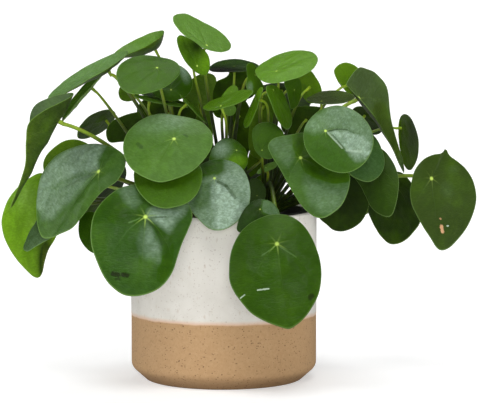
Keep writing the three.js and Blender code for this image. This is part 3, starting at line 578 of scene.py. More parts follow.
# Old and young green, vein colour, the colour of the painted sheen, and how strongly veins are drawn.
UPPER = (srgb(42, 77, 8), srgb(102, 150, 20), srgb(112, 146, 76), srgb(156, 180, 160), 0.3)
GLOSS = {"Roughness": 0.28, "Specular_IOR_Level": 0.12, "Subsurface_Weight": 0.12}
upper_face = leaf_material("upper face", *UPPER, **GLOSS)
LOWER = (srgb(34, 52, 4), srgb(128, 176, 30), srgb(104, 134, 56), srgb(170, 200, 120), 0.5)
underside = leaf_material("underside", *LOWER, Roughness=0.5, Specular_IOR_Level=0.12, Subsurface_Weight=0.35)
print("upper face and underside")

# %% [markdown]
# A petiole is painted dark towards its root: painted shade deep in the plant. It is pale yellow-green where
# it meets the blade. The short stems are brown and ringed.

# %% Petiole and stem materials
petiole_green, tree, shader = material("petiole", Roughness=0.42, Subsurface_Weight=0.15,
                                       Subsurface_Scale=0.002)
at = where(tree)
along = place(tree, "ShaderNodeAttribute", attribute_name="along").outputs["Fac"]
streaks = clouds(tree, at, 220.0, 3.0)
# Darker towards the root: painted shade deep in the plant.
green = blend(tree, ramp(tree, along, 0.4, 0.95), srgb(26, 38, 6), srgb(152, 182, 46))
colour(tree, shader, blend(tree, ramp(tree, streaks, 0.4, 0.7, 0.0, 0.4), green, srgb(72, 94, 18)))
bumped(tree, shader, streaks, 0.1, 0.0003)

woody, tree, shader = material("woody stem", Roughness=0.8)
at = where(tree)
rings = clouds(tree, stretched(tree, at, (1.0, 1.0, 3.0)), 240.0, 4.0, 0.65)
colour(tree, shader, blend(tree, rings, srgb(70, 58, 38), srgb(132, 116, 78)))
bumped(tree, shader, rings, 0.6, 0.0006)
print("petiole and stem materials")

# %% [markdown]
# ## How a leaf is placed
# Each leaf's pale spot was read off the photograph, and stands on the sight line through that pixel, a
# judged distance in front of the pot's axis. Three angles turn the blade. Where the outline shows, its
# pixels are laid on the blade's plane. The other outlines are ovals. These are the same numbers as in the
# drawing.

# %% Leaves at the top and on the left
LEAVES = [
    dict(hub=(206.5, 45.5), ahead=8, size=(58, 56), seat=0.1, turn=(69, 61, 112), stem="back", lift=0,
         swing=0.05,
         rim=[(173, 17), (178, 14), (186, 14), (198, 19), (209, 25), (219, 31), (227, 38), (231, 45),
              (229, 50), (222, 52), (210, 50.5), (199, 46), (188, 38), (179, 30), (174, 23)]),
    dict(hub=(197, 66), ahead=26, size=(42, 38), seat=0.22, turn=(36, 30, 118), stem="back", lift=0.02,
         swing=0.04,
         rim=[(177, 38), (180, 35), (190, 39), (200, 46), (208, 55), (210, 66), (207, 74.5), (202, 75),
              (195, 71.5), (188, 65), (182, 56), (178, 46)]),
    dict(hub=(155, 49), ahead=-30, size=(50, 46), seat=0.28, turn=(78, 116, 206), stem="left", dome=-10.5),
    dict(hub=(108, 69.5), ahead=24, size=(80, 70), seat=0.28, turn=(81, 117, 207), stem="left", dome=-6,
         droop=5, lift=0.2, swing=0.05),
    dict(hub=(157, 68), ahead=62, size=(58, 58), seat=0.28, turn=(53, 94, 218), stem="left", dome=2,
         rim=[(116.5, 72), (120, 64.5), (130, 58), (140, 55.5), (150, 55.5), (160, 57), (172, 60),
              (179.5, 66), (179, 75), (171, 83), (160, 89.5), (150, 93), (140, 94), (130, 93.5), (121, 88),
              (117, 80)]),
    dict(hub=(171, 90), ahead=10, size=(40, 40), seat=0.22, turn=(35, 80, 95), stem="left", dome=4),
    dict(hub=(58, 121), ahead=64, size=(104, 64), seat=0.27, turn=(82, 151, 241), stem="left", fold=26,
         twist=24,
         plan=[(-27, 0), (-22, 9), (-12, 20), (0, 29), (12, 30), (28, 20), (42, 10), (60, 4.5), (84, 0)]),
    dict(hub=(91.5, 88), ahead=-25, size=(56, 50), seat=0.3, turn=(84, 139, 229), stem="left", fold=5,
         lift=0.02, swing=0.06),
    dict(hub=(106, 120), ahead=-62, size=(44, 40), seat=0.3, turn=(116, 123, 213), stem="left",
         rim=[(80, 126), (90, 115.5), (100, 111), (109, 109.5), (115.5, 113), (114, 120), (104, 131),
              (95, 135.5), (84, 139), (78, 138), (77.5, 132)]),
    dict(hub=(136, 130), ahead=-38, size=(50, 32), seat=0.3, turn=(170, 100, 200), stem="left",
         rim=[(106, 131), (112, 121.5), (120, 117), (132, 113), (146, 112), (156, 118), (158, 130),
              (150, 139), (136, 140), (120, 142), (109, 142)]),
    dict(hub=(174, 139), ahead=82, size=(80, 78), seat=0.36, turn=(40, 92, 238), stem="left", dome=3,
         rim=[(123, 146), (127, 133), (134, 125), (142, 119.5), (160, 113.7), (180, 116), (200, 121),
              (207, 126.5), (212, 134), (213, 142), (210, 151), (202, 162), (192, 171), (183, 176),
              (172, 180), (160, 182), (148, 179), (138, 174), (130, 167), (125, 158)]),
    dict(hub=(168, 171), ahead=90, size=(60, 60), seat=0.35, turn=(42, 90, 268), stem="left", dome=3,
         rim=[(134, 172), (134, 180), (136, 187), (141, 195), (148, 202), (156, 206.5), (165, 208.5),
              (175, 207.5), (184, 204.5), (192, 199.5), (198, 192), (202, 180), (201, 168), (190, 158),
              (172, 154), (152, 157), (138, 164)]),
    dict(hub=(98.5, 171.5), ahead=72, size=(96, 84), seat=0.26, turn=(52, 142, 231), stem="left", fold=3,
         dome=5,
         rim=[(89, 144), (100, 144), (115, 148.5), (122, 153), (125.5, 160), (124, 170), (117, 181),
              (103, 191), (90, 206), (80, 219), (72, 228), (60, 234), (51, 238), (43, 238), (38, 228),
              (36, 207), (39, 182), (44, 170), (52, 160), (64, 151), (77, 146)]),
    dict(hub=(76, 158), ahead=0, size=(52, 46), seat=0.3, turn=(135, 100, 220), stem="left",
         rim=[(43, 165), (45, 158), (50, 151), (56, 146), (63, 141.5), (70, 139.5), (77, 139.5), (88, 144),
              (96, 152), (98, 164), (90, 176), (74, 184), (56, 182), (46, 175)]),
    dict(hub=(45, 203), ahead=5, size=(92, 80), seat=0.26, turn=(135, 180, 273), stem="left", dome=6,
         rim=[(42, 173), (28, 179), (15, 190), (5, 206), (1.5, 222), (4, 237), (9, 248), (17, 260),
              (28, 272), (35, 277.5), (39, 277.5), (42, 273), (45, 260), (49, 249), (56, 237), (62, 221),
              (63, 203), (56, 184)]),
    dict(hub=(58, 206), ahead=38, size=(58, 46), seat=0.26, turn=(50, 140, 231), stem="left", lift=0.2,
         rim=[(35, 223), (30, 231), (26, 240), (23, 249), (28, 251.5), (35, 247), (42, 243), (50, 238.5),
              (60, 231), (67, 213), (69, 198), (63, 191), (52, 195), (42, 208)]),
    dict(hub=(145.5, 217), ahead=112, size=(97, 86), seat=0.29, turn=(20, 90, 265), stem="left", dome=7,
         rim=[(133, 184.5), (118, 189), (103, 201), (94, 214), (90.5, 232), (91.5, 246), (97, 262),
              (104, 277), (112, 287), (124, 295), (138, 296), (154, 291.5), (165, 283), (173, 271),
              (177, 259), (182, 244), (188, 230), (192.5, 217), (189, 205), (178, 193), (163, 186),
              (148, 183)]),
    dict(hub=(96, 224), ahead=45, size=(42, 30), seat=0.3, turn=(40, 170, 265), stem="left", lift=0.4,
         rim=[(79.5, 220), (78.5, 228), (79, 235), (81, 241), (86, 248), (93, 253), (102, 253), (108, 244),
              (109, 230), (104, 218), (94, 212), (85, 213)]),
]
print(len(LEAVES), "leaves")

# %% [markdown]
# Leaves 19 to 36 stand in the middle and on the right. Leaf 35 is the large one that hangs in front of the
# pot.

# %% Leaves in the middle and on the right
LEAVES += [
    dict(hub=(214.5, 178.5), ahead=80, size=(62, 56), seat=0.26, turn=(28, 90, 270), stem="left", dome=4,
         rim=[(187, 204), (191, 211), (202, 223), (208, 228), (216, 230.5), (226, 229), (237, 222),
              (244, 214.5), (249, 205), (250.5, 194), (249.5, 184), (246, 174), (240, 166), (232, 161.5),
              (222, 159.5), (212, 160), (202, 164), (193, 172), (187, 182), (185, 193)]),
    dict(hub=(236.5, 150.5), ahead=45, size=(36, 34), seat=0.3, turn=(40, 75, 205), stem="right", dome=3,
         rim=[(210, 155), (212, 149), (219, 141), (226, 138), (233, 139), (240, 143.5), (246, 150),
              (248, 158), (246, 167), (238, 174), (226, 176), (214, 172), (209, 163)]),
    dict(hub=(262, 150.5), ahead=53, size=(31, 30), seat=0.2, turn=(40, 90, 58), stem="right",
         rim=[(252, 136), (253, 129), (258, 124), (265, 122), (272, 123), (279, 127), (284, 134),
              (284, 145), (279, 154), (270, 159), (261, 157), (255, 150)]),
    dict(hub=(221, 106), ahead=50, size=(42, 46), seat=0.18, turn=(75, 109, 100), stem="back",
         rim=[(203, 107.5), (210, 101.5), (220, 97.5), (230, 94), (240, 90.5), (248, 89.5), (253, 91),
              (251, 95), (245, 100), (236, 104), (228, 106.5), (220, 109), (212, 110.3), (205, 109.8)]),
    dict(hub=(273, 90), ahead=34, size=(44, 36), seat=0.2, turn=(66, 21, 291), stem="right",
         rim=[(278, 87.5), (283, 93), (287, 101), (290, 110), (292, 119), (291, 126), (287, 129.5),
              (282, 126), (277, 118), (273, 109), (269.5, 100), (266.5, 92), (266, 87), (269, 85.2),
              (274, 85.4)]),
    dict(hub=(276.5, 71.5), ahead=25, size=(55, 54), seat=0.26, turn=(63, 101, 25), stem="right", dome=1,
         rim=[(255, 71), (257, 76), (262, 81), (270, 83.3), (280, 82.5), (290, 80), (300, 77), (310, 71.5),
              (316, 65), (318, 59), (315, 54), (308, 51), (298, 50), (287, 52), (276, 55.5), (266, 61),
              (258, 66.5)]),
    dict(hub=(321.5, 101.5), ahead=5, size=(46, 45), seat=0.15, turn=(75, 88, 60), stem="right",
         rim=[(306.5, 99.5), (312, 95.5), (320, 92), (330, 90.5), (340, 91), (350, 93.5), (355, 96.5),
              (352, 100), (343, 103), (332, 104), (320, 103.8), (311, 102)]),
    dict(hub=(359, 98), ahead=42, size=(96, 76), seat=0.25, turn=(70, 34, 310), stem="right", fold=17,
         droop=10,
         plan=[(-17, 0), (-15, 25), (-9, 30), (0, 35), (16, 35), (38, 18), (59, 10), (71, 7), (79, 0)]),
    dict(hub=(325.5, 131), ahead=95, size=(60, 58), seat=0.28, turn=(22, 80, 329), stem="right", dome=4,
         lift=0.3, swing=0.2,
         rim=[(303.5, 135), (305, 127), (310, 119), (318, 111.5), (328, 107), (338, 105.5), (348, 107.5),
              (358, 113), (367, 122), (372.5, 133), (373.5, 144), (370, 155), (363, 164.5), (353, 171),
              (343, 173), (332, 171), (321, 165.5), (311, 157), (305, 146)]),
    dict(hub=(300.5, 158), ahead=74, size=(78, 74), seat=0.28, turn=(25, 70, 286), stem="right", twist=8,
         rim=[(268, 146), (272, 139.5), (280, 136.5), (292, 134.5), (304, 133), (311, 140), (321, 151),
              (335, 163), (349, 174), (349.5, 185), (346, 197), (341, 206), (333, 213), (324, 218),
              (316, 217.5), (309, 213), (301, 205), (291, 189), (281, 171), (272, 156)]),
    dict(hub=(364, 152), ahead=66, size=(46, 42), seat=0.3, turn=(35, 60, 280), stem="right", dome=3,
         rim=[(372, 134), (378, 141), (382, 150), (384.5, 160), (383, 170), (377, 178), (368, 182),
              (358, 179.5), (350, 174), (344, 164), (344, 150), (352, 138), (363, 132)]),
    dict(hub=(343, 194), ahead=34, size=(54, 46), seat=0.3, turn=(160, 40, 268), stem="right",
         rim=[(320, 219), (326, 224), (333, 230), (342, 231.5), (352, 228.5), (361, 222), (366.5, 213),
              (369, 204), (366, 194), (360, 184), (350, 175), (336, 176), (324, 186), (317, 200),
              (316, 211)]),
    dict(hub=(378, 168), ahead=50, size=(60, 44), seat=0.28, turn=(25, 150, 275), stem="right", dome=4,
         rim=[(355, 178), (361, 187), (366, 197), (371, 207), (378, 213.5), (388, 217), (392, 215),
              (396, 204), (398.5, 190), (398.5, 178), (395, 166), (389, 156), (382, 149), (370, 147),
              (358, 153), (352, 165)]),
    dict(hub=(397, 187), ahead=-15, size=(62, 46), seat=0.28, turn=(135, 20, 268), stem="right",
         rim=[(368, 211), (371, 219), (375, 227), (380.5, 236), (389, 243.5), (397, 244), (405, 240.5),
              (413, 233), (420, 222), (420, 208), (416, 192), (410, 181), (402, 173), (391, 172),
              (379, 180), (371, 194)]),
    dict(hub=(431.5, 178.5), ahead=40, size=(88, 68), seat=0.28, turn=(35, 0, 278), stem="right", dome=4,
         rim=[(410, 192), (411, 184), (415, 170), (424, 159), (434, 154.5), (442, 153), (445.5, 148.5),
              (449, 155), (457, 161), (466, 169), (473, 180), (476.5, 196), (474, 211), (467, 227),
              (458, 239), (449, 248), (441, 250.5), (436, 247), (431, 239), (424, 228.5), (416, 214),
              (411, 202)]),
    dict(hub=(402, 128), ahead=-20, size=(50, 42), seat=0.24, turn=(112, 3, 277), stem="right", dome=2,
         rim=[(399, 122), (401, 116.5), (404.5, 114), (409, 116), (413, 122), (416.5, 131), (418.5, 142),
              (418, 155), (415, 164), (411, 170), (406, 168), (402, 158), (399.5, 145), (398.5, 132)]),
    dict(hub=(277, 244), ahead=126, size=(98, 80), seat=0.27, turn=(18, 95, 278), stem="right", dome=6,
         lift=0.55,
         rim=[(229, 270), (230, 257), (233, 246), (240, 233), (249, 224), (260, 218), (272, 214.5),
              (284, 214.5), (295, 218.5), (304, 226), (311, 236), (316, 247), (320, 260), (321.5, 275),
              (319, 293), (313, 306), (305, 317.5), (296, 325.5), (289, 329), (280, 327), (263, 320.5),
              (251, 313), (242, 303), (234, 292), (229.5, 281)]),
    dict(hub=(260, 209.5), ahead=104, size=(38, 38), seat=0.3, turn=(20, 90, 255), stem="right", dome=3,
         rim=[(237, 230), (238, 222), (242, 213), (248, 205), (256, 200), (265, 199.5), (273, 203),
              (278.5, 210), (279.5, 216), (271, 224), (260, 230), (250, 233), (241, 233)]),
]
print(len(LEAVES), "leaves")

# %% [markdown]
# The rest stand deep between the others, or at the back, which the photograph doesn't show. Those marked
# `behind` are placed as in front, then turned half round the pot.

# %% Inner leaves and leaves behind
LEAVES += [
    dict(hub=(234, 66.5), ahead=-45, size=(46, 46), seat=0.4, turn=(77, 92, 60), stem="back",
         rim=[(209, 68), (214, 63.5), (222, 60.5), (233, 59), (245, 60.5), (253, 62.5), (259, 66),
              (254, 69.5), (244, 71.5), (230, 72), (218, 72), (211, 71)]),
    dict(hub=(365, 115), ahead=-35, size=(36, 30), seat=0.3, turn=(125, 60, 290), stem="right"),
    dict(hub=(306, 120), ahead=-50, size=(44, 30), seat=0.4, turn=(168, 60, 290), stem="right",
         rim=[(281, 120), (287, 112), (296, 107), (310, 106), (325, 108), (337, 113), (335, 123),
              (320, 132), (303, 137), (290, 137), (282, 130)]),
    dict(hub=(236, 88), ahead=-74, size=(46, 34), seat=0.4, turn=(150, 90, 270), stem="back",
         rim=[(211, 98), (211, 86), (217, 81), (224, 78), (228, 75.5), (230, 70.5), (240, 69), (252, 71),
              (257, 77), (257, 86), (255.5, 93), (251, 98), (247.5, 99), (244, 106), (238, 114),
              (228, 117.5), (217, 117.5), (212, 110)]),
    dict(hub=(200, 104), ahead=-70, size=(60, 30), seat=0.4, turn=(150, 90, 270), stem="back",
         rim=[(183, 94), (188, 83), (197, 75.5), (207, 73), (214, 75), (216.5, 80), (213, 92), (213, 112),
              (213, 130), (211, 146), (204, 150), (196, 138), (190, 121), (184, 108)]),
    dict(hub=(264, 232), ahead=104, lift=0.55, size=(88, 78), seat=0.28, turn=(20, 90, 275), stem="back",
         dome=6, behind=True),
    dict(hub=(178, 238), ahead=118, lift=0.55, size=(86, 78), seat=0.28, turn=(22, 90, 262), stem="back",
         dome=5, behind=True),
    dict(hub=(224, 188), ahead=98, size=(66, 62), seat=0.3, turn=(30, 90, 270), stem="back", dome=4,
         behind=True),
    dict(hub=(276, 152), ahead=78, size=(70, 66), seat=0.3, turn=(42, 88, 272), stem="back", dome=3,
         behind=True),
    dict(hub=(148, 160), ahead=74, size=(70, 64), seat=0.3, turn=(42, 95, 260), stem="back", dome=4,
         behind=True),
    dict(hub=(352, 190), ahead=50, size=(72, 64), seat=0.3, turn=(50, 50, 292), stem="left", fold=6,
         behind=True),
    dict(hub=(98, 190), ahead=66, size=(62, 56), seat=0.3, turn=(35, 130, 248), stem="right", dome=3,
         behind=True),
    dict(hub=(286, 88), ahead=56, size=(42, 42), seat=0.3, turn=(60, 80, 300), stem="left", dome=2,
         behind=True),
    dict(hub=(162, 100), ahead=74, size=(54, 50), seat=0.3, turn=(55, 100, 250), stem="right", dome=2,
         behind=True),
    dict(hub=(168, 113), ahead=-56, size=(56, 36), seat=0.4, turn=(150, 100, 190), stem="left",
         rim=[(137, 109), (142, 101), (153, 97), (170, 98), (186, 103), (196, 110), (196, 118), (186, 123),
              (168, 124), (150, 123), (139, 118)]),
    dict(hub=(260, 158), ahead=-60, size=(50, 40), seat=0.4, turn=(150, 90, 270), stem="back",
         rim=[(250, 150), (253, 140), (261, 134), (271, 136), (277, 146), (279, 160), (276, 174),
              (268, 183), (256, 183), (248, 174), (247.5, 162)]),
]
print(len(LEAVES), "leaves")

# %% [markdown]
# Young leaves are small and pale, and grow near the tops of the stems. In the solids they are one with the
# stem that bears them.

# %% Young leaves
YOUNG = [
    dict(hub=(230, 110), ahead=5, size=(14, 12), seat=0.2, turn=(40, 10, 95), stem="back",
         rim=[(222, 107), (226, 104), (232, 104), (236, 108), (235, 113), (230, 116), (224, 113)]),
    dict(hub=(256, 99), ahead=40, size=(36, 14), seat=0.25, turn=(60, 161, 251), stem="right",
         rim=[(261, 87), (256, 94), (251, 104), (247, 114), (243.5, 123), (245, 128), (249, 126),
              (253, 118), (257, 108), (260, 98), (263, 89)]),
    dict(hub=(150, 99), ahead=10, size=(48, 30), seat=0.3, turn=(82, 78, 348), stem="left"),
    dict(hub=(188, 103), ahead=30, size=(34, 20), seat=0.3, turn=(83, 43, 313), stem="left"),
    dict(hub=(132, 92), ahead=-55, size=(18, 16), seat=0.3, turn=(150, 100, 250), stem="left", lift=0.24,
         rim=[(119.5, 88), (118.5, 94), (121, 99.5), (127, 101.5), (134, 100), (139, 95), (139, 88),
              (133, 83), (125, 83)]),
    dict(hub=(310, 87), ahead=-45, size=(28, 22), seat=0.3, turn=(135, 45, 300), stem="right",
         rim=[(296, 76), (304, 70), (311, 71), (317, 79), (321, 87), (322, 95), (317, 102), (309, 103),
              (303, 97), (299, 88)]),
    dict(hub=(294, 90), ahead=2, size=(28, 15), seat=0.3, turn=(45, 10, 275), stem="right",
         rim=[(284, 82), (287, 92), (289, 102), (291, 109), (296, 107), (300, 99), (301.5, 90), (301, 82),
              (296, 77), (288, 77)]),
    dict(hub=(349.5, 84), ahead=-58, size=(28, 24), seat=0.3, turn=(140, 30, 118), stem="right",
         rim=[(334, 71), (337, 66), (341, 63.5), (346, 62.5), (352, 64), (358, 68), (361, 76), (360, 86),
              (356, 94), (349, 94), (343, 88), (337, 80)]),
    dict(hub=(257, 196), ahead=64, size=(24, 18), seat=0.3, turn=(30, 90, 100), stem="right",
         rim=[(250, 180), (255, 178), (261, 181), (265, 187), (266, 195), (262, 203), (254, 206),
              (247, 202), (245, 193), (246, 185)]),
    dict(hub=(255, 75), ahead=-15, size=(24, 12), seat=0.3, turn=(40, 20, 288), stem="back",
         rim=[(247, 64), (253, 63.5), (257, 69), (259, 77), (262, 83), (265, 89), (260, 91), (256.5, 94),
              (252, 95), (248, 91), (246, 85), (247.5, 78), (246.5, 71)]),
    dict(hub=(239, 116), ahead=-45, size=(46, 22), seat=0.3, turn=(150, 60, 290), stem="back",
         rim=[(229, 109), (233, 101), (242, 98), (249, 106), (252, 122), (251, 142), (246, 159), (239, 164),
              (232, 157), (229, 142), (228, 125)]),
    dict(hub=(264, 106), ahead=-22, size=(48, 22), seat=0.3, turn=(150, 60, 290), stem="right",
         rim=[(254, 105), (258, 97), (266, 94), (273, 101), (276, 116), (275, 134), (269, 151), (260, 159),
              (252, 156), (248.5, 145), (249, 129), (251, 116)]),
    dict(hub=(266, 168), ahead=24, size=(22, 9), seat=0.3, turn=(50, 110, 10), stem="right",
         rim=[(257, 172), (261, 168), (267, 164), (273, 162), (277.5, 162.5), (276, 167), (269, 170.5),
              (262, 173), (258, 174)]),
    dict(hub=(231, 92), ahead=4, size=(16, 12), seat=0.3, turn=(50, 70, 110), stem="back",
         rim=[(221.5, 98), (225, 91.5), (229.5, 87), (234, 85.3), (237.5, 87.5), (238, 92), (234, 95.5),
              (228, 98.5)]),
]
print(len(YOUNG), "young leaves")

# %% [markdown]
# ## From pixels to millimetres
# The helpers below turn a pixel into a sight line, and a leaf's three angles into its own axes: along to
# the tip, across, and out of the upper face. Leaves at the back are placed as in front, then turned half
# round.

# %% Axes of a leaf
STEMS = {"left": ((-32, -8), 158), "right": ((35, -6), 160), "back": ((2, 30), 166)}
BLADE = 1.0
EDGE_ON = 0.12


def seen(pixel, ahead):
    """Where a pixel's sight line is this far in front of the pot's axis."""
    ray = forward * FOCAL + rightward * (pixel[0] - MIDDLE[0]) + upward * (MIDDLE[1] - pixel[1])
    return EYE + ray * ((-ahead - EYE[1]) / ray[1])


def axes_of(leaf):
    """The pale spot, and the ways to the tip, across, and out of the upper face."""
    hub = seen(leaf["hub"], leaf["ahead"])
    to_eye = unit(EYE - hub)
    right = unit(np.cross([0, 0, 1], to_eye))
    up = np.cross(to_eye, right)
    tilt, lean, tip = np.radians(leaf["turn"])
    leaning = right * math.cos(lean) + up * math.sin(lean)
    level = up * math.cos(lean) - right * math.sin(lean)
    out = to_eye * math.cos(tilt) + leaning * math.sin(tilt)
    away = leaning * math.cos(tilt) - to_eye * math.sin(tilt)
    shortening = math.copysign(max(abs(math.cos(tilt)), EDGE_ON), math.cos(tilt))
    along = unit(level * math.sin(tip - lean) + away * math.cos(tip - lean) / shortening)
    if leaf.get("behind"):
        hub, along, out = (v * [-1, -1, 1] for v in (hub, along, out))
    return hub, along, np.cross(out, along), out


def height_of(leaf, s, t, share):
    """How high the blade stands over its plane: domed, folded, drooping or twisted."""
    length, width = leaf["size"]
    lengthwise = s / (length * (1 - leaf["seat"]))
    side = t / (width / 2)
    return (leaf.get("fold", 0) * (np.hypot(side, 0.15) - 0.15) + leaf.get("twist", 0) * side * lengthwise
            - leaf.get("dome", 0) * share ** 2 - leaf.get("droop", 0) * np.maximum(0, lengthwise) ** 2)


# %% [markdown]
# An outline is a closed smooth curve through its corners. A corner that was read as a pixel is laid on the
# blade where its sight line meets it. The blade isn't flat, so that place is found in a few rounds.

# %% Outline of a leaf
def between(points, knots, u, step):
    """Each pair of neighbouring points, blended by where u lies between their knots."""
    shares = [(u - knots[j]) / (knots[j + step] - knots[j]) for j in range(len(points) - 1)]
    return [a * (1 - share) + b * share for share, a, b in zip(shares, points, points[1:])]


def smooth_loop(corners, count):
    """A closed curve through the corners, with its points spaced evenly."""
    corners = np.asarray(corners, dtype=float)
    dense = []
    for i in range(len(corners)):
        four = [corners[(i + k) % len(corners)] for k in (-1, 0, 1, 2)]
        knots = [0.0]
        for a, b in zip(four, four[1:]):
            knots.append(knots[-1] + max(np.linalg.norm(b - a) ** 0.5, 1e-3))
        for u in np.linspace(knots[1], knots[2], 16, endpoint=False):
            two = between(between(four, knots, u, 1), knots, u, 2)
            dense += between(two, knots[1:], u, 1)
    dense = np.array(dense + dense[:1])
    run = np.concatenate([[0], np.cumsum(np.linalg.norm(np.diff(dense, axis=0), axis=1))])
    even = np.linspace(0, run[-1], count, endpoint=False)
    return np.stack([np.interp(even, run, dense[:, k]) for k in (0, 1)], axis=1)


def outline(leaf, count):
    """The rim on the blade's plane, in mm from the pale spot."""
    if "plan" in leaf:
        one = [(s, -half) for s, half in leaf["plan"]]
        other = [(s, half) for s, half in leaf["plan"][-2:0:-1]]
        return smooth_loop(one + other, count)
    if "rim" not in leaf:
        length, width = leaf["size"]
        angle = np.arange(count) * 2 * math.pi / count
        return np.stack([(0.5 - leaf["seat"]) * length + length / 2 * np.cos(angle),
                         width / 2 * np.sin(angle)], axis=1)
    hub, along, across, out = axes_of(leaf)
    corners = []
    for pixel in leaf["rim"]:
        s = t = 0.0
        ray = seen(pixel, 0) - EYE
        for _ in range(6):
            lifted = hub + out * height_of(leaf, s, t, 1.0)
            on_blade = EYE + ray * ((lifted - EYE) @ out / (ray @ out)) - hub
            s, t = on_blade @ along, on_blade @ across
        corners.append((s, t))
    area = sum(a[0] * b[1] - b[0] * a[1] for a, b in zip(corners, corners[1:] + corners[:1]))
    return smooth_loop(corners if area > 0 else corners[::-1], count)


# %% [markdown]
# ## A blade
# A blade is two skins of rings round the pale spot, joined by a narrow rounded edge. It is thickest at the
# spot and thin at the rim. Its surface isn't flat: it swells softly between the veins, which sink in, and
# its margin waves a little. These forms are in the mesh, so that the shine breaks up as on the real leaf.
# Each point keeps its share of the way to the rim, and its place on the leaf for the veins.

# %% Relief of a blade
RELIEF_AT = 90.0
SWELLING, RIPPLES, FURROW = 1.9, 0.6, 0.5
FURROW_WIDTH = 0.045


def relief(leaf, s, t, share, number):
    """Swelling between the veins and a soft wave of the margin, in mm, more on a longer leaf."""
    length = leaf["size"][0]
    x, y = s / length, t / length
    reach = np.hypot(x, y)
    turn = np.abs(np.arctan2(y, x))
    turn = turn + np.sin(turn) * reach * CURVING
    furrow = 0.0
    for bearing, _, _, depth in VEINS:
        apart = np.abs(turn - bearing) * reach
        furrow = furrow + depth * np.exp(-(apart / FURROW_WIDTH) ** 2)
    soft, fine = (np.array([noise.noise(Vector((a * k + number * 7.3, b * k, 3.1))) for a, b in zip(x, y)])
                  for k in (4.5, 11))
    inner = np.clip(share * 5, 0, 1) * (1 - 0.6 * share ** 4)
    return length / RELIEF_AT * inner * (SWELLING * soft + RIPPLES * fine - FURROW * furrow)


# %% [markdown]
# The rings are evenly spaced up to near the rim, where the last ones lie close together and round off the
# edge. Each skin has a fan of triangles at the pale spot and rows of quads outside it.

# %% Blade mesh
LAST_RINGS = (0.965, 0.985, 1.0)
HALF_THICK, THINNING, HALF_RIM = 0.5, 0.2, 0.12


def blade(leaf, number, around, rings):
    """Points and faces, the skin of each face, and each point's share and place."""
    hub, along, across, out = axes_of(leaf)
    rim = outline(leaf, around)
    shares = np.concatenate([np.linspace(0, LAST_RINGS[0], rings - 1)[1:], LAST_RINGS[1:]])
    s = np.concatenate([[0], np.outer(shares, rim[:, 0]).ravel()])
    t = np.concatenate([[0], np.outer(shares, rim[:, 1]).ravel()])
    share = np.concatenate([[0], np.repeat(shares, around)])
    middle = height_of(leaf, s, t, share) + relief(leaf, s, t, share, number)
    thick = BLADE * np.where(share < 0.99, HALF_THICK - THINNING * share ** 2, HALF_RIM)
    skins = []
    for way in (1, -1):
        skins.append(hub + np.outer(s, along) + np.outer(t, across) + np.outer(middle + way * thick, out))
    points = np.concatenate(skins)
    per = len(s)

    def at(skin, ring, i):
        return skin * per + (1 + (ring - 1) * around + i % around if ring else 0)

    faces, kinds = [], []
    for skin in (0, 1):
        for i in range(around):
            ring_faces = [(at(skin, 0, 0), at(skin, 1, i), at(skin, 1, i + 1))]
            ring_faces += [(at(skin, r, i), at(skin, r + 1, i), at(skin, r + 1, i + 1), at(skin, r, i + 1))
                           for r in range(1, rings)]
            faces += [face if skin == 0 else face[::-1] for face in ring_faces]
            kinds += [skin] * len(ring_faces)
    for i in range(around):
        faces.append((at(0, rings, i), at(1, rings, i), at(1, rings, i + 1), at(0, rings, i + 1)))
        kinds.append(0)
    flat = np.tile(np.stack([s, t], axis=1) / leaf["size"][0], (2, 1))
    return points, faces, kinds, np.tile(share, 2), flat


# %% [markdown]
# Some parts of a leaf get painted sheen, painted shade or a fresher green than the rest. A patch is an oval
# that fades out, and a sector is a part with a sharper edge. Both are given in pixels of the photograph, and
# the points of the blade that lie there take their strength.

# %% Patches and leaf pieces
def depth_in(corners, spots):
    """How deep each spot lies inside an outline, negative outside."""
    corners = np.array(corners, dtype=float)
    nearest, inside = np.full(len(spots), np.inf), np.zeros(len(spots), dtype=bool)
    for a, b in zip(corners, np.roll(corners, -1, axis=0)):
        way, off = b - a, spots - a
        u = np.clip(off @ way / (way @ way), 0, 1)
        nearest = np.minimum(nearest, np.linalg.norm(off - np.outer(u, way), axis=1))
        crossed = (a[1] > spots[:, 1]) != (b[1] > spots[:, 1])
        inside ^= crossed & (off[:, 0] < way[0] * off[:, 1] / (way[1] or 1e-9))
    return np.where(inside, nearest, -nearest)


def patched(points, level, patches, sectors=()):
    """A value for each point: patches and sectors added to a middle level."""
    way = (points - EYE) @ np.stack([rightward, -upward, forward], axis=1)
    pixel = way[:, :2] / way[:, 2:] * FOCAL + MIDDLE
    amount = np.array(level, dtype=float)
    for strength, softness, corners in sectors:
        amount += strength * np.clip(0.5 + depth_in(corners, pixel) / softness, 0, 1)
    for x, y, wide, tall, strength in patches:
        amount += strength * np.exp(-((pixel[:, 0] - x) / wide) ** 2 - ((pixel[:, 1] - y) / tall) ** 2)
    return np.clip(amount, -1, 1)


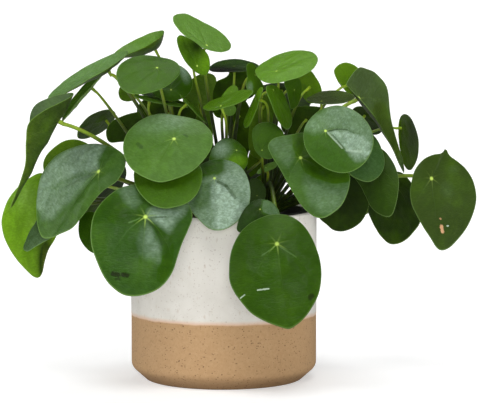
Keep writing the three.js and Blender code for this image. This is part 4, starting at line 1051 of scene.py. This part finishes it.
def leaf_piece(name, leaf, number, fineness, tones, replaces=(), upper=upper_face):
    """One leaf with its two finishes and what the leaf material reads from its points."""
    points, faces, kinds, share, flat = blade(leaf, number, *fineness)
    obj = piece(name, points, faces, [upper, underside], replaces)
    mesh = obj.data
    mesh.polygons.foreach_set("material_index", kinds)
    lower = np.arange(len(share)) >= len(share) // 2
    # The second tone of each pair is painted sheen, and below zero painted shade.
    fresh, painted_light = (np.where(lower, below, above) for above, below in zip(tones, UNDER.get(number, tones)))
    give(obj, "share", share)
    give(obj, "fresh", patched(points, fresh, TINTS.get(number, ())))
    give(obj, "painted_light", patched(points, painted_light, PAINTED_SHINE_AND_SHADE.get(number, ()), SHEEN_AND_SHADE_SECTORS.get(number, ())))
    give(obj, "veined", np.full(len(share), VEINED.get(number, 0.12)))
    plane = mesh.uv_layers.new(name="plane")
    index = np.empty(len(mesh.loops), dtype=np.int32)
    mesh.loops.foreach_get("vertex_index", index)
    plane.data.foreach_set("uv", flat[index].ravel())
    return obj


# %% [markdown]
# ## All the leaves
# Leaves differ in age: young ones are yellow-green, old ones deep green, and some are turning olive. Each
# catches the light in its own way, and much of that is painted: silvery patches of painted sheen between the
# veins, and painted shade where a leaf lies in the shadow of others. TONES gives freshness and the middle
# level of painted sheen, below zero painted shade, of the leaves that stand out, and UNDER the same for the
# lower face. VEINED says how clearly the veins are drawn. TINTS add soft patches to freshness, and the shine
# patches add painted sheen, below zero painted shade: pixel, half width, half height and strength. Young
# leaves are numbered on from YOUNG_FROM in UNDER, TINTS and the shine patches.

# %% Tones of the leaves
YOUNG_FROM = 60
# In each pair, freshness, then the middle level of painted sheen, below zero painted shade; the same for
# young leaves and undersides.
TONES = {1: (0.8, 0.1), 2: (0.6, -0.15), 3: (0.6, 0.06), 4: (0.5, 0.2), 5: (0.2, -0.1), 6: (0.1, -0.3),
         7: (-0.3, 0.05), 8: (0.1, -0.5), 9: (0.1, -0.1), 11: (0.3, 0.05), 12: (0.25, -0.05),
         13: (0.1, 0.05), 14: (0.4, 0.0), 15: (1.0, 0.04), 16: (-0.2, 0.14), 18: (0.1, 0.0), 19: (0.0, 0.4),
         20: (0.1, -0.1), 21: (0.2, -0.12), 22: (0.6, -0.02), 23: (0.4, -0.08), 24: (0.75, 0.03),
         25: (-0.8, -0.2), 26: (-0.65, 0.06), 27: (0.1, 0.02), 28: (0.1, 0.03), 29: (0.0, 0.06),
         30: (0.0, -0.5), 31: (-0.3, -0.2), 32: (0.0, -0.1), 33: (-0.55, -0.12), 34: (0.35, -0.15),
         35: (0.1, -0.3), 36: (0.0, -0.6), 37: (0.0, -0.35), 41: (0.3, 0.1), 47: (0.0, -0.3),
         52: (0.35, 0.0)}
YOUNG_TONES = {1: (0.9, 0.1), 2: (0.7, -0.12), 3: (0.3, -0.05), 4: (0.3, -0.2), 6: (0.6, -0.12),
               7: (0.3, -0.15), 8: (0.65, -0.08), 9: (0.2, -0.75), 10: (0.4, -0.3), 11: (0.2, -0.35),
               13: (1.0, 0.1), 14: (0.8, -0.1)}
UNDER = {3: (0.3, -0.35), 4: (0.2, -0.25), 7: (0.0, 0.06), 8: (0.7, 0.0), 26: (-0.3, -0.1),
         34: (0.5, -0.55)}
VEINED = {11: 0.2, 13: 0.25, 17: 0.4, 19: 0.12, 27: 0.15, 28: 0.15, 33: 0.15, 35: 0.3}
TINTS = {
    2: [(206, 64, 5, 10, 0.5), (190, 58, 5, 10, -0.3)],
    15: [(46, 262, 7, 22, -2.0)],
    20: [(238, 161, 9, 6, 1.2)],
}
# Patches of painted sheen, and below zero of painted shade.
PAINTED_SHINE_AND_SHADE = {
    2: [(197, 45, 9, 11, -0.8), (184, 46, 6, 8, -0.4)],
    5: [(135, 76, 18, 12, 0.1)],
    6: [(183, 66, 5, 9, 0.9), (187, 78, 6, 10, 0.6)],
    11: [(173, 121, 15, 8, 0.3), (150, 128, 16, 9, 0.12)],
    12: [(150, 182, 34, 9, -0.4)],
    15: [(24, 195, 14, 14, 0.3), (38, 226, 10, 14, 0.22)],
    20: [(221, 149, 10, 10, 0.65)],
    26: [(380, 122, 6, 14, -0.35), (392, 145, 5, 14, -0.35)],
    31: [(374, 170, 16, 12, -0.5)],
    33: [(447, 190, 16, 20, 0.16), (456, 167, 12, 8, 0.12)],
    34: [(412, 128, 5, 20, -0.3)],
    35: [(259, 230, 8, 10, 0.08), (300, 250, 9, 10, 0.04)],
    36: [(250, 222, 6, 6, 0.2)],
    37: [(222, 70, 24, 3.5, -0.7)],
    70: [(250, 88, 4, 8, 0.8)],
}
print(len(TONES), "leaves with tones of their own,", len(PAINTED_SHINE_AND_SHADE), "with patches of shine")

# %% [markdown]
# These sectors are parts with painted sheen, or below zero painted shade, with a sharper edge, as veins
# bound them: strength, softness of the edge in pixels, and corners.

# %% Sectors of the leaves
SHEEN_AND_SHADE_SECTORS = {
    13: [
        (0.5, 5, [(84, 145), (96, 143), (105, 146), (98, 159), (98, 170), (84, 172), (71, 176), (59, 181),
                  (50, 190), (45, 200), (41, 212), (34, 206), (38, 182), (48, 166), (59, 156), (72, 148)]),
        (0.3, 6, [(94, 173), (82, 188), (72, 199), (62, 209), (52, 219), (42, 219), (41, 210), (45, 200),
                  (51, 190), (62, 181), (78, 175)]),
    ],
    17: [
        (0.55, 9, [(149, 212), (155, 208), (165, 209), (178, 210), (188, 205), (183, 214), (176, 220),
                   (172, 226), (168, 232), (163, 229), (158, 224), (149, 218)]),
        (0.3, 11, [(143, 233), (147, 226), (153, 231), (159, 240), (162, 250), (160, 262), (154, 257),
                   (148, 257), (143, 252), (140, 243)]),
        (0.24, 10, [(121, 191), (127, 184), (134, 186), (138, 201), (132, 208), (123, 203)]),
        (-0.2, 7, [(152, 222), (160, 227), (168, 236), (171, 250), (168, 268), (160, 279), (162, 260),
                   (161, 245), (156, 232)]),
        (-0.2, 10, [(101, 203), (118, 197), (128, 208), (138, 216), (128, 222), (115, 218), (96, 219)]),
    ],
    19: [
        (-0.55, 8, [(198, 162), (224, 157), (224, 171), (218, 176), (214, 175), (207, 177), (198, 178)]),
        (0.14, 5, [(217, 177), (225, 172), (237, 168), (248, 175), (253, 190), (250, 204), (237, 195),
                   (229, 187), (221, 181)]),
        (0.42, 6, [(213, 184), (219, 183), (227, 191), (237, 200), (244, 208), (241, 217), (230, 227),
                   (218, 232), (214, 222), (216, 209), (212, 198)]),
        (-0.26, 7, [(199, 180), (212, 182), (212, 195), (209, 205), (200, 211), (190, 207)]),
    ],
    27: [
        (0.64, 4, [(328, 132), (336, 130), (347, 131), (354, 134), (363, 137), (371, 145), (370, 153),
                   (362, 156), (347, 150), (338, 142)]),
        (0.3, 6, [(318, 116), (330, 107), (345, 105), (360, 111), (370, 122), (375, 138), (372, 146),
                  (363, 137), (350, 131), (340, 128), (327, 130)]),
        (0.4, 4, [(346, 150), (362, 155), (372, 150), (366, 160), (356, 162), (350, 156)]),
        (0.3, 8, [(302, 128), (308, 120), (316, 116), (321, 124), (324, 130), (314, 133)]),
    ],
    28: [
        (-0.48, 6, [(295, 132), (303, 131), (305, 148), (314, 159), (326, 169), (345, 171), (352, 173),
                    (346, 180), (333, 181), (318, 176), (308, 171), (302, 163), (299, 156), (295, 146)]),
        (0.17, 9, [(305, 176), (315, 182), (333, 186), (350, 183), (350, 193), (342, 206), (330, 214),
                   (318, 211), (310, 201), (305, 188)]),
        (0.13, 7, [(267, 144), (277, 137), (290, 136), (294, 146), (293, 158), (288, 166), (278, 158)]),
    ],
    35: [
        (0.12, 12, [(268, 253), (277, 248), (286, 257), (284, 275), (276, 283), (263, 280), (259, 270)]),
        (-0.1, 12, [(232, 250), (250, 225), (258, 240), (252, 262), (240, 280), (230, 272)]),
    ],
    36: [
        (0.75, 3, [(261, 208), (262, 200), (268, 199), (274, 203), (279, 209), (282, 216), (270, 216),
                   (262, 213)]),
    ],
}
print(len(SHEEN_AND_SHADE_SECTORS), "leaves with sectors")

# %% [markdown]
# Some leaves carry marks of age: dark rotten spots, a dry brown scar, and pale scratches. On others a main
# vein gets a painted highlight along its ridge and painted shade along its furrow. Each mark is a short
# ragged stroke on the leaf's own plane, between two pixels of the photograph, with its width in pixels, a
# colour and a strength. A leaf with marks gets a finish of its own.

# %% Marks
# The dim colour serves dark spots and painted shade in vein furrows; the pale one serves scratches and
# painted highlights on vein ridges.
DARK, SPOT_AND_FURROW_SHADE, DRY = srgb(26, 30, 12), srgb(40, 62, 26), srgb(206, 160, 118)
SCRATCH_AND_RIDGE_LIGHT, FAINT = srgb(190, 208, 186), srgb(110, 146, 84)
MARKS = {11: [((138, 144), (141, 147), 4.0, SPOT_AND_FURROW_SHADE, 0.5), ((184, 135), (187, 137), 2.5, SPOT_AND_FURROW_SHADE, 0.5)],
         13: [((97, 172), (86, 183), 1.4, FAINT, 0.35), ((86, 183), (72, 197), 1.3, FAINT, 0.2)],
         17: [((113, 272), (118, 273), 4.5, DARK, 0.85), ((123, 273), (127, 274), 4.5, DARK, 0.85),
              ((116, 277), (119, 277), 2.5, DARK, 0.6), ((148, 221), (158, 232), 1.8, SPOT_AND_FURROW_SHADE, 0.6),
              ((158, 232), (162, 243), 2.2, SPOT_AND_FURROW_SHADE, 0.5), ((151, 218), (166, 216.5), 1.2, SPOT_AND_FURROW_SHADE, 0.6),
              ((140, 218), (129, 222), 1.4, FAINT, 0.35)],
         19: [((218, 182), (226, 186), 2.8, SPOT_AND_FURROW_SHADE, 0.6), ((226, 186), (235, 197), 3.0, SPOT_AND_FURROW_SHADE, 0.5)],
         27: [((328, 133), (342, 148), 1.5, SCRATCH_AND_RIDGE_LIGHT, 0.4), ((333, 135), (345, 149), 1.2, SPOT_AND_FURROW_SHADE, 0.5),
              ((329, 131), (337, 129), 1.5, SPOT_AND_FURROW_SHADE, 0.7), ((337, 129), (347, 129.5), 1.6, SPOT_AND_FURROW_SHADE, 0.6),
              ((347, 129.5), (354, 132.5), 1.4, SPOT_AND_FURROW_SHADE, 0.4), ((347, 150), (361, 150.5), 2.2, SCRATCH_AND_RIDGE_LIGHT, 0.3)],
         33: [((442.4, 226.5), (443.6, 231.5), 3.7, DRY, 0.95), ((441, 218.5), (441.6, 219), 1.8, DRY, 0.6),
              ((448.5, 226), (449.5, 226), 1.6, SCRATCH_AND_RIDGE_LIGHT, 0.8)],
         35: [((310, 296), (312, 294), 4.6, DARK, 0.7), ((240, 296.5), (244.5, 293.3), 1.1, SCRATCH_AND_RIDGE_LIGHT, 0.6),
              ((257.5, 289.2), (268.5, 288), 1.4, SCRATCH_AND_RIDGE_LIGHT, 0.65), ((274, 247), (262, 255), 1.2, FAINT, 0.25),
              ((280, 247), (296, 257), 1.2, FAINT, 0.25)]}


def on_leaf(leaf, pixel):
    """Where a pixel's sight line meets the leaf's plane, in leaf lengths from the pale spot."""
    hub, along, across, out = axes_of(leaf)
    ray = seen(pixel, 0) - EYE
    spot = EYE + ray * ((hub - EYE) @ out / (ray @ out)) - hub
    return (float(spot @ along) / leaf["size"][0], float(spot @ across) / leaf["size"][0], 0.0)


PER_PIXEL = 0.88
marked = {}
for number, marks in MARKS.items():
    leaf = LEAVES[number - 1]
    placed = [(on_leaf(leaf, start), on_leaf(leaf, end), width * PER_PIXEL / leaf["size"][0], tint, much)
              for start, end, width, tint, much in marks]
    marked[number] = leaf_material(f"upper face {number}", *UPPER, marks=placed, **GLOSS)
print(len(marked), "marked leaves")

# %% [markdown]
# A blade's mesh is as fine as its place asks for: points round and rings. Leaves with sectors are the
# finest, because the values of the material sit on the points. Young leaves stand in for no solid of their
# own.

# %% Leaves
FINE, LARGE, SMALL, TINY = (128, 28), (80, 16), (56, 11), (36, 8)
LARGE_FROM = 60
for number, leaf in enumerate(LEAVES, 1):
    fineness = FINE if number in SHEEN_AND_SHADE_SECTORS else LARGE if leaf["size"][0] > LARGE_FROM else SMALL
    leaf_piece(f"blade_{number:02}", leaf, number, fineness, TONES.get(number, (0.0, 0.02)),
               [f"leaf_{number:02}"], marked.get(number, upper_face))
for number, leaf in enumerate(YOUNG, 1):
    leaf_piece(f"young_blade_{number:02}", leaf, YOUNG_FROM + number, TINY,
               YOUNG_TONES.get(number, (0.4, 0.05)))
print(len(LEAVES), "leaves and", len(YOUNG), "young leaves made")

# %% [markdown]
# ## Petioles
# A petiole rises from its stem, bends over in one easy arch and meets the blade square on. It is a tube
# along a path, thicker at its root: work for Geometry Nodes. Each path is a row of edges that carries its
# thickness. The tree makes curves of the rows, sweeps a small circle of that size along them and closes the
# ends.

# %% Petiole tree
sweeping = bpy.data.node_groups.new("sweep petioles", "GeometryNodeTree")
given, made = inputs_of(sweeping, ("Paths", "Geometry"), ("Sides", "Int"), ("Finish", "Material"))
curves = result(sweeping, "GeometryNodeMeshToCurve", {0: given["Paths"]})
girth = result(sweeping, "GeometryNodeInputNamedAttribute", {"Name": "girth"}, data_type="FLOAT")
circle = result(sweeping, "GeometryNodeCurvePrimitiveCircle", {"Resolution": given["Sides"], "Radius": 1.0})
tube = result(sweeping, "GeometryNodeCurveToMesh",
              {"Curve": curves, "Profile Curve": circle, "Scale": girth, "Fill Caps": True})
finished(sweeping, tube, given, made)
print("tree", sweeping.name)

# %% [markdown]
# A path starts in the stem, a little below its top, and lower for a leaf that reaches far out. It runs in
# one bend to a place straight under the pale spot, and from there into the blade. A longer leaf has a
# thicker petiole, with a radius of 1 mm for a leaf of LENGTH_FOR_ONE.

# %% Petiole paths
BELOW_TOP, LOWER, LOWEST = 4, 0.14, 16
UNDER_BLADE, INTO_BLADE = 5, 0.2
PETIOLE_ROOT, THIN, THICK = 2.0, 0.9, 1.6
LENGTH_FOR_ONE = 56
FLARE, FLARE_FROM = 6.0, 0.92


def petiole_path(leaf, steps=22):
    """The middle line of a petiole, from inside its stem into the blade."""
    hub, _, _, out = axes_of(leaf)
    (x, y), top = STEMS[leaf["stem"]]
    away = np.array([hub[0] - x, hub[1] - y, 0])
    reach = np.linalg.norm(away)
    away = unit(away)
    root = np.array([x, y, top - BELOW_TOP - min(LOWEST, reach * LOWER)]) + away * PETIOLE_ROOT
    join = hub - out * (BLADE / 2 + UNDER_BLADE)
    run = np.linalg.norm(join - root)
    lift, swing = leaf.get("lift", 0.12), leaf.get("swing", 0.16)
    first = root * 0.65 + join * 0.35 + [0, 0, run * lift * 1.3]
    second = join - out * run * swing + [0, 0, run * lift * 0.4]
    u = np.linspace(0, 1, steps)[:, None]
    bend = (1 - u) ** 3 * root + 3 * (1 - u) ** 2 * u * first + 3 * (1 - u) * u ** 2 * second + u ** 3 * join
    return np.concatenate([bend, [hub - out * INTO_BLADE]])


def girth_along(leaf, share, young):
    """The radius of a petiole in mm: thickest at the root, flaring where it meets the blade."""
    tip = 1.0 if young else min(max(leaf["size"][0] / LENGTH_FOR_ONE, THIN), THICK)
    return PETIOLE_ROOT + (tip - PETIOLE_ROOT) * share ** 0.7 + FLARE * np.maximum(0, share - FLARE_FROM)


for stem in STEMS:
    points, edges, girths, shares = [], [], [], []
    for young, group in ((False, LEAVES), (True, YOUNG)):
        for leaf in group:
            if leaf["stem"] != stem:
                continue
            path = petiole_path(leaf)
            share = np.linspace(0, 1, len(path))
            edges += [(len(points) + i, len(points) + i + 1) for i in range(len(path) - 1)]
            points += list(path)
            girths += list(girth_along(leaf, share, young))
            shares += list(share)
    petioles = grown(f"petioles_{stem}", points, edges, sweeping, {"Sides": 10, "Finish": petiole_green},
                     {"girth": np.array(girths) * MM, "along": shares})
    hand_over(petioles, [f"stem_{stem}"])
    print("petioles", stem, len(petioles.data.polygons), "faces")

# %% [markdown]
# ## Stems
# The stems are short and woody, ringed with the scars of old leaves. Each is turned from a profile of its
# own, with a swelling at every scar.

# %% Stems
STEM_FOOT = 120
SCAR, PER_SCAR = 0.35, 1.35
for stem, ((x, y), top) in STEMS.items():
    levels = np.linspace(STEM_FOOT, top, 60)
    taper = np.interp(levels, [STEM_FOOT, STEM_FOOT + 12, top - 8, top - 2, top], [4.8, 6.0, 5.1, 3.6, 0.0])
    scars = SCAR * np.maximum(0, np.cos(levels * PER_SCAR + x)) ** 3
    profile = [(0, 0, STEM_FOOT)]
    profile += [(max(r - 0.3 + k, 0.0), 0, z) for r, k, z in zip(taper[:-1], scars, levels)]
    profile.append((0, 0, top))
    trunk = grown(f"trunk_{stem}", profile, [], turning, {"Steps round": 24, "Finish": woody})
    trunk.data.transform(Matrix.Translation((x * MM, y * MM, 0)))
    hand_over(trunk)
    print("stem", stem, len(trunk.data.polygons), "faces")

# %% [markdown]
# ## Potting mix
# The mix is a low mound of peat with crumbs lying all over it. A mound is turned like the pots, and noise
# lifts its surface into lumps. Crumbs are dealt over it by lot: small rough balls of a few faces, each with
# its own size and turn. One tree does it, with the turning tree inside.

# %% Parts of the mix trees
EDGE, CRUMBS_ABOVE, LUMPS_FROM, LUMPS_FULL = 134.0, 132.5, 133.0, 134.5
LUMPS, ROUGHNESS = 6.0, 1.2


def level_in(tree):
    return split(tree, result(tree, "GeometryNodeInputPosition"))[2]


def sized(*sides):
    return tuple(side * MM for side in sides)


def mound(tree, given):
    """The turned mound, with lumps on its upper side."""
    body = result(tree, "GeometryNodeGroup", {label: given[label] for label in ("Profile", "Steps round")},
                  node_tree=turning)
    lumps = result(tree, "ShaderNodeTexNoise", {"Scale": 90.0, "Detail": 4.0})
    up = calc(tree, "MULTIPLY", calc(tree, "SUBTRACT", lumps, 0.5), LUMPS * MM)
    up = calc(tree, "MULTIPLY", up, ramp(tree, level_in(tree), LUMPS_FROM * MM, LUMPS_FULL * MM))
    offset = result(tree, "ShaderNodeCombineXYZ", {2: up})
    return result(tree, "GeometryNodeSetPosition", {"Geometry": body, "Offset": offset})


def roughened(tree, geometry):
    cloud = place(tree, "ShaderNodeTexNoise", {"Scale": 420.0, "Detail": 3.0}).outputs["Color"]
    offset = arrow(tree, "SCALE", arrow(tree, "SUBTRACT", cloud, (0.5, 0.5, 0.5)), scale=ROUGHNESS * MM)
    return result(tree, "GeometryNodeSetPosition", {"Geometry": geometry, "Offset": offset})


def scattered(tree, surface, shape, given, low, high):
    """Copies of a shape on the upper side of a surface, each with its own size and turn."""
    chosen = calc(tree, "GREATER_THAN", level_in(tree), CRUMBS_ABOVE * MM)
    points = result(tree, "GeometryNodeDistributePointsOnFaces",
                    {"Mesh": surface, "Selection": chosen, "Density": given["Density"],
                     "Seed": given["Seed"]})
    turn = result(tree, "FunctionNodeRandomValue", {"Min": (0, 0, 0), "Max": (0.9, 0.9, 6.28)},
                  data_type="FLOAT_VECTOR")
    size = result(tree, "FunctionNodeRandomValue", {"Min": low, "Max": high, "Seed": 3},
                  data_type="FLOAT_VECTOR")
    bits = result(tree, "GeometryNodeInstanceOnPoints",
                  {"Points": points, "Instance": shape, "Rotation": turn, "Scale": size})
    return roughened(tree, result(tree, "GeometryNodeRealizeInstances", {"Geometry": bits}))


# %% [markdown]
# Crumbs are rough balls, bits of bark are flat rough blocks. Both keep their facets.

# %% Mix and bark trees
CRUMB = sized(0.5, 0.5, 0.4), sized(1.9, 1.6, 1.2)
CHIP = sized(4.0, 2.0, 0.9), sized(9.0, 4.5, 1.8)
SCATTER = (("Profile", "Geometry"), ("Steps round", "Int"), ("Density", "Float"), ("Seed", "Int"),
           ("Finish", "Material"))

laying = bpy.data.node_groups.new("lay the mix", "GeometryNodeTree")
given, made = inputs_of(laying, *SCATTER)
bed = mound(laying, given)
ball = result(laying, "GeometryNodeMeshIcoSphere", {"Radius": 1.0, "Subdivisions": 1})
crumbs = scattered(laying, bed, ball, given, *CRUMB)
both = laying.nodes.new("GeometryNodeJoinGeometry")
for part in (bed, crumbs):
    laying.links.new(part, both.inputs[0])
finished(laying, both.outputs[0], given, made, smooth=False)

strewing = bpy.data.node_groups.new("strew bark", "GeometryNodeTree")
given, made = inputs_of(strewing, *SCATTER)
block = result(strewing, "GeometryNodeMeshCube",
               {"Size": (1.0, 1.0, 1.0), "Vertices X": 4, "Vertices Y": 3, "Vertices Z": 2})
chips = scattered(strewing, mound(strewing, given), block, given, *CHIP)
finished(strewing, chips, given, made, smooth=False)
print("trees", laying.name, "and", strewing.name)

# %% [markdown]
# Between the petioles the photograph shows dark crumbs and one red-brown bit of bark near the rim. The mix
# is one piece, the bits of bark another, because their colours differ.

# %% Potting mix and bark
UNDER_MIX = IN_LINER + GAP
MIX_FOOT, MIX_RADIUS = 60.0, 66.4
MOUND_RADII, MOUND_LEVELS = [0, 30, 53, MIX_RADIUS], [139, 138.2, 135.5, EDGE]
MOUND = [(0, 0, UNDER_MIX), (MIX_FOOT, 0, UNDER_MIX), (MIX_RADIUS, 0, EDGE)]
MOUND += [(r, 0, float(np.interp(r, MOUND_RADII, MOUND_LEVELS))) for r in np.arange(65, 0, -1.6)]
MOUND.append((0, 0, MOUND_LEVELS[0]))
mix = grown("potting_mix", MOUND, [], laying,
            {"Steps round": 120, "Density": 150000.0, "Seed": 7, "Finish": potting_mix})
hand_over(mix, ["soil"])
strewn = grown("bark_chips", MOUND, [], strewing,
               {"Steps round": 120, "Density": 5000.0, "Seed": 21, "Finish": bark})
hand_over(strewn)
print("mix:", len(mix.data.polygons), "faces, bark:", len(strewn.data.polygons))

# %% [markdown]
# ## Floor and light
# The photograph was taken in soft studio light and shows pure white all round. A wide pale floor runs out
# behind the pot and lies below the whole view, so it is the backdrop too. The camera sees it brighter than
# the plant does, as in the photograph, where the ground is white and the undersides are dark. The light
# comes from above: a bright ceiling that fades towards the horizon, and broad soft lamps high up on the
# left, in front and on top. The three low lamps only fill: they aren't mirrored in the leaves, so these
# keep their deep green.

# %% Floor
FLOOR_HALF = 60
paper, tree, shader = material("studio paper", Roughness=1.0, Specular_IOR_Level=0.0, Emission_Strength=1.0)
direct = tree.nodes.new("ShaderNodeLightPath").outputs["Is Camera Ray"]
colour(tree, shader, blend(tree, direct, (0.7, 0.7, 0.7, 1.0), (0.75, 0.75, 0.75, 1.0)))
tree.links.new(blend(tree, direct, (0, 0, 0, 1.0), (0.45, 0.45, 0.45, 1.0)), shader.inputs["Emission Color"])
corners = [(x * FLOOR_HALF, y * FLOOR_HALF, 0) for x, y in ((-1, -1), (1, -1), (1, 1), (-1, 1))]
floor = bpy.data.objects.new("floor", bpy.data.meshes.new("floor"))
floor.data.from_pydata(corners, [], [(0, 1, 2, 3)])
floor.data.materials.append(paper)
bpy.context.collection.objects.link(floor)
print("floor", 2 * FLOOR_HALF, "m wide")

# %% [markdown]
# The sky is bright overhead and dim at the horizon, except where the camera looks straight at it. A lamp
# has a strength and a spread in degrees. Two angles say where it stands: from the camera to the right, and
# up. The last word says whether surfaces mirror it.

# %% World and lamps
world = bpy.data.worlds.new("studio")
world.use_nodes = True
tree = world.node_tree
sky = tree.nodes["Background"]
direction = tree.nodes.new("ShaderNodeTexCoord").outputs["Generated"]
ceiling = ramp(tree, split(tree, direction)[2], 0.45, 0.9, 0.25, 1.3)
direct = tree.nodes.new("ShaderNodeLightPath").outputs["Is Camera Ray"]
tree.links.new(calc(tree, "MAXIMUM", ceiling, direct), sky.inputs["Strength"])
bpy.context.scene.world = world

LAMPS = (("front", 1.6, 24, 0, 4, False),
         ("panel", 1.1, 26, 4, 52, True),
         ("left", 1.3, 40, -80, 24, True),
         ("low left", 0.7, 50, -60, 4, False),
         ("right", 1.5, 50, 58, 8, False),
         ("top", 1.2, 40, 170, 72, True))
for name, strength, spread, azimuth, elevation, mirrored in LAMPS:
    turn, rise = math.radians(azimuth), math.radians(elevation)
    aim = (-math.sin(turn) * math.cos(rise), math.cos(turn) * math.cos(rise), -math.sin(rise))
    sun = bpy.data.lights.new(name, "SUN")
    sun.energy = strength
    sun.angle = math.radians(spread)
    lamp = bpy.data.objects.new(name, sun)
    lamp.visible_glossy = mirrored
    lamp.rotation_euler = Vector(aim).to_track_quat("-Z", "Y").to_euler()
    bpy.context.collection.objects.link(lamp)
bpy.context.scene.view_settings.view_transform = "Standard"
print("floor, ceiling light and lamps")
